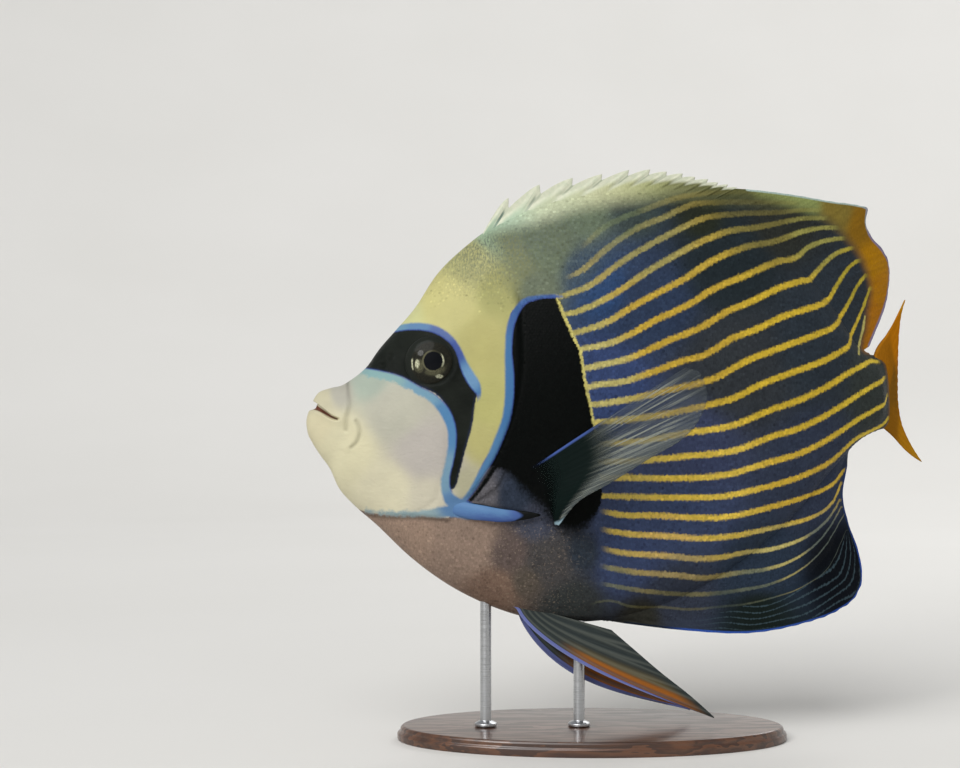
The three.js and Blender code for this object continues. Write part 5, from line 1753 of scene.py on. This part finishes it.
def build_studio():
    """A pale floor that sweeps up all round, soft lights, and the camera at the photograph's angle."""
    radius = np.concatenate([np.linspace(0.05, FLOOR_FLAT, 6), np.linspace(1.5, 4.4, 30)])[:, None]
    height = 2.4 * (np.maximum(0, radius - FLOOR_FLAT) / 3) ** 2
    turn = np.linspace(0, 2 * np.pi, 96, endpoint=False)
    ring = joined(radius * np.cos(turn), radius * np.sin(turn), height)
    points = np.concatenate([ring.reshape(-1, 3), [[0, 0, 0]]])
    faces = grid_faces(len(radius), len(turn), closed=True)
    k = np.arange(len(turn))
    hub = np.stack([(k + 1) % len(turn), k, k * 0 + len(points) - 1], 1)
    mesh = bpy.data.meshes.new("studio_floor")
    mesh.from_pydata(points.tolist(), [], np.concatenate([faces, hub])[:, ::-1].tolist())
    mesh.polygons.foreach_set("use_smooth", np.full(len(mesh.polygons), True))
    mesh.materials.append(material_of("pale floor", fill_floor))
    add_object("studio_floor", mesh)
    for light in LIGHTS:
        add_light(*light)
    scene = bpy.context.scene
    scene.world = bpy.data.worlds.new("studio")
    scene.world.use_nodes = True
    background = scene.world.node_tree.nodes["Background"].inputs
    background["Color"].default_value = (0.92, 0.95, 1.0, 1)
    background["Strength"].default_value = 0.35
    scene.view_settings.view_transform = "Standard"
    camera = bpy.data.cameras.new("camera")
    camera.sensor_width, camera.lens = 36.0, CAMERA_LENS
    scene.camera = add_object("camera", camera)
    scene.camera.location = CAMERA_PLACE
    scene.camera.rotation_euler = (math.pi / 2, 0, 0)


def fill_floor(tree, colours):
    """A pale, dull floor with faint clouds."""
    clouds = tree.noise(tree.value("ShaderNodeTexCoord", output="Object"), 3.0)
    return {"Base Color": tree.mix(clouds, colours.floor, colours.floor_light), "Roughness": 0.75}


# The add-on


class AngelfishColours(bpy.types.PropertyGroup):
    """Colours of the fish, the stand and the floor."""
    __annotations__ = {
        name: FloatVectorProperty(name=name.replace("_", " ").capitalize(), description=description,
                                  subtype="COLOR", min=0, max=1, default=srgb(*colour))
        for name, (description, *colour) in COLOURS.items()
    }


class AngelfishSizes(bpy.types.PropertyGroup):
    """Mesh density and the size of the scales, in millimetres on the straight fish."""
    skin_stations: IntProperty(name="Skin stations", description="Rings along the body", default=270, min=40)
    skin_around: IntProperty(name="Skin around", description="Points in each ring", default=360, min=40)
    scale_length: FloatProperty(name="Scale length", description="From one scale to the next, mm",
                                default=1.45, min=1.0)
    scale_height: FloatProperty(name="Scale height", description="From one row of scales to the next, mm",
                                default=1.25, min=1.0)
    scale_lift: FloatProperty(name="Scale lift", description="How far a scale's rear edge stands out, mm",
                              default=0.12, min=0.0)


class AngelfishSkin(bpy.types.Operator):
    """Make the skin over the head, trunk and tail stem, with the cheek spines"""
    bl_idname = "angelfish.skin"
    bl_label = "Skin"

    def execute(self, context):
        build_skin()
        for side, label in SIDES:
            build_cheek_spine(side, label)
        return {"FINISHED"}


class AngelfishScales(bpy.types.Operator):
    """Make the overlapping scales of both flanks"""
    bl_idname = "angelfish.scales"
    bl_label = "Scales"

    def execute(self, context):
        for side, label in SIDES:
            build_scales(side, label)
        return {"FINISHED"}


class AngelfishMedianFins(bpy.types.Operator):
    """Make the back fin, the anal fin and the tail fin"""
    bl_idname = "angelfish.median_fins"
    bl_label = "Median fins"

    def execute(self, context):
        colours = context.scene.angelfish_colours

        def dorsal_edge(a, c):
            return blend_colours(ease(262, 268, a), colours.dorsal_margin, colours.dorsal_rear)

        def anal_edge(a, c):
            low = ease(158, 176, a) * (0.25 + 0.75 * ease(-60, -84, c))
            return blend_colours(low, colours.anal_front, colours.margin)

        back = marked_material("soft back fin", ray_shade=0.08, margin=1.1, coat=0, specular=0.03)
        anal = marked_material("anal fin", ray_shade=0.06, margin=1.3, coat=0, specular=0.03)
        tail = marked_material("tail fin", ray_shade=0.1, coat=0, specular=0.0)
        build_spiny_dorsal()
        build_soft_fin("dorsal_soft", DORSAL_SOFT, 20, 60, soft_half(20, 3.0, 0.24, 0.26, 0.6), back,
                       "dorsal_fin_soft", edge=dorsal_edge, scaled=0.6)
        build_soft_fin("anal_soft", ANAL_FIN, 20, 60, soft_half(20, 2.8, 0.24, 0.24, 0.6), anal,
                       "anal_fin", contour=True, edge=anal_edge, scaled=0.55)
        build_soft_fin("tail_rays", TAIL_FIN, 17, 64, tail_half, tail, "tail_fin",
                       place=tail_place, zones=TAIL_ZONES)
        return {"FINISHED"}


class AngelfishPairedFins(bpy.types.Operator):
    """Make the pectoral and pelvic fins"""
    bl_idname = "angelfish.paired_fins"
    bl_label = "Paired fins"

    def execute(self, context):
        for side, label in SIDES:
            build_pectoral(side, label)
            build_pelvic(side, label)
        return {"FINISHED"}


class AngelfishEyes(bpy.types.Operator):
    """Make both eyes"""
    bl_idname = "angelfish.eyes"
    bl_label = "Eyes"

    def execute(self, context):
        for side, label in SIDES:
            build_eye(side, label)
        return {"FINISHED"}


class AngelfishStand(bpy.types.Operator):
    """Make the display stand"""
    bl_idname = "angelfish.stand"
    bl_label = "Stand"

    def execute(self, context):
        build_stand()
        return {"FINISHED"}


class AngelfishStudio(bpy.types.Operator):
    """Make the floor, lights and camera"""
    bl_idname = "angelfish.studio"
    bl_label = "Studio"

    def execute(self, context):
        build_studio()
        return {"FINISHED"}


STEPS = (AngelfishStudio, AngelfishSkin, AngelfishScales, AngelfishMedianFins, AngelfishPairedFins,
         AngelfishEyes, AngelfishStand)


class AngelfishPanel(bpy.types.Panel):
    """Lists the steps, sizes and colours"""
    bl_idname = "VIEW3D_PT_angelfish"
    bl_label = "Angelfish"
    bl_space_type = "VIEW_3D"
    bl_region_type = "UI"
    bl_category = "Angelfish"

    def draw(self, context):
        for step in STEPS:
            self.layout.operator(step.bl_idname)
        for group in (context.scene.angelfish_sizes, context.scene.angelfish_colours):
            for name in group.__annotations__:
                self.layout.prop(group, name)


CLASSES = (AngelfishColours, AngelfishSizes, *STEPS, AngelfishPanel)


def register():
    for made in CLASSES:
        bpy.utils.register_class(made)
    bpy.types.Scene.angelfish_colours = PointerProperty(type=AngelfishColours)
    bpy.types.Scene.angelfish_sizes = PointerProperty(type=AngelfishSizes)


def unregister():
    del bpy.types.Scene.angelfish_sizes
    del bpy.types.Scene.angelfish_colours
    for made in reversed(CLASSES):
        bpy.utils.unregister_class(made)


def main():
    """Registers the add-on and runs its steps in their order."""
    register()
    for step in STEPS:
        group, name = step.bl_idname.split(".")
        getattr(getattr(bpy.ops, group), name)()


if __name__ == "__main__":
    main()
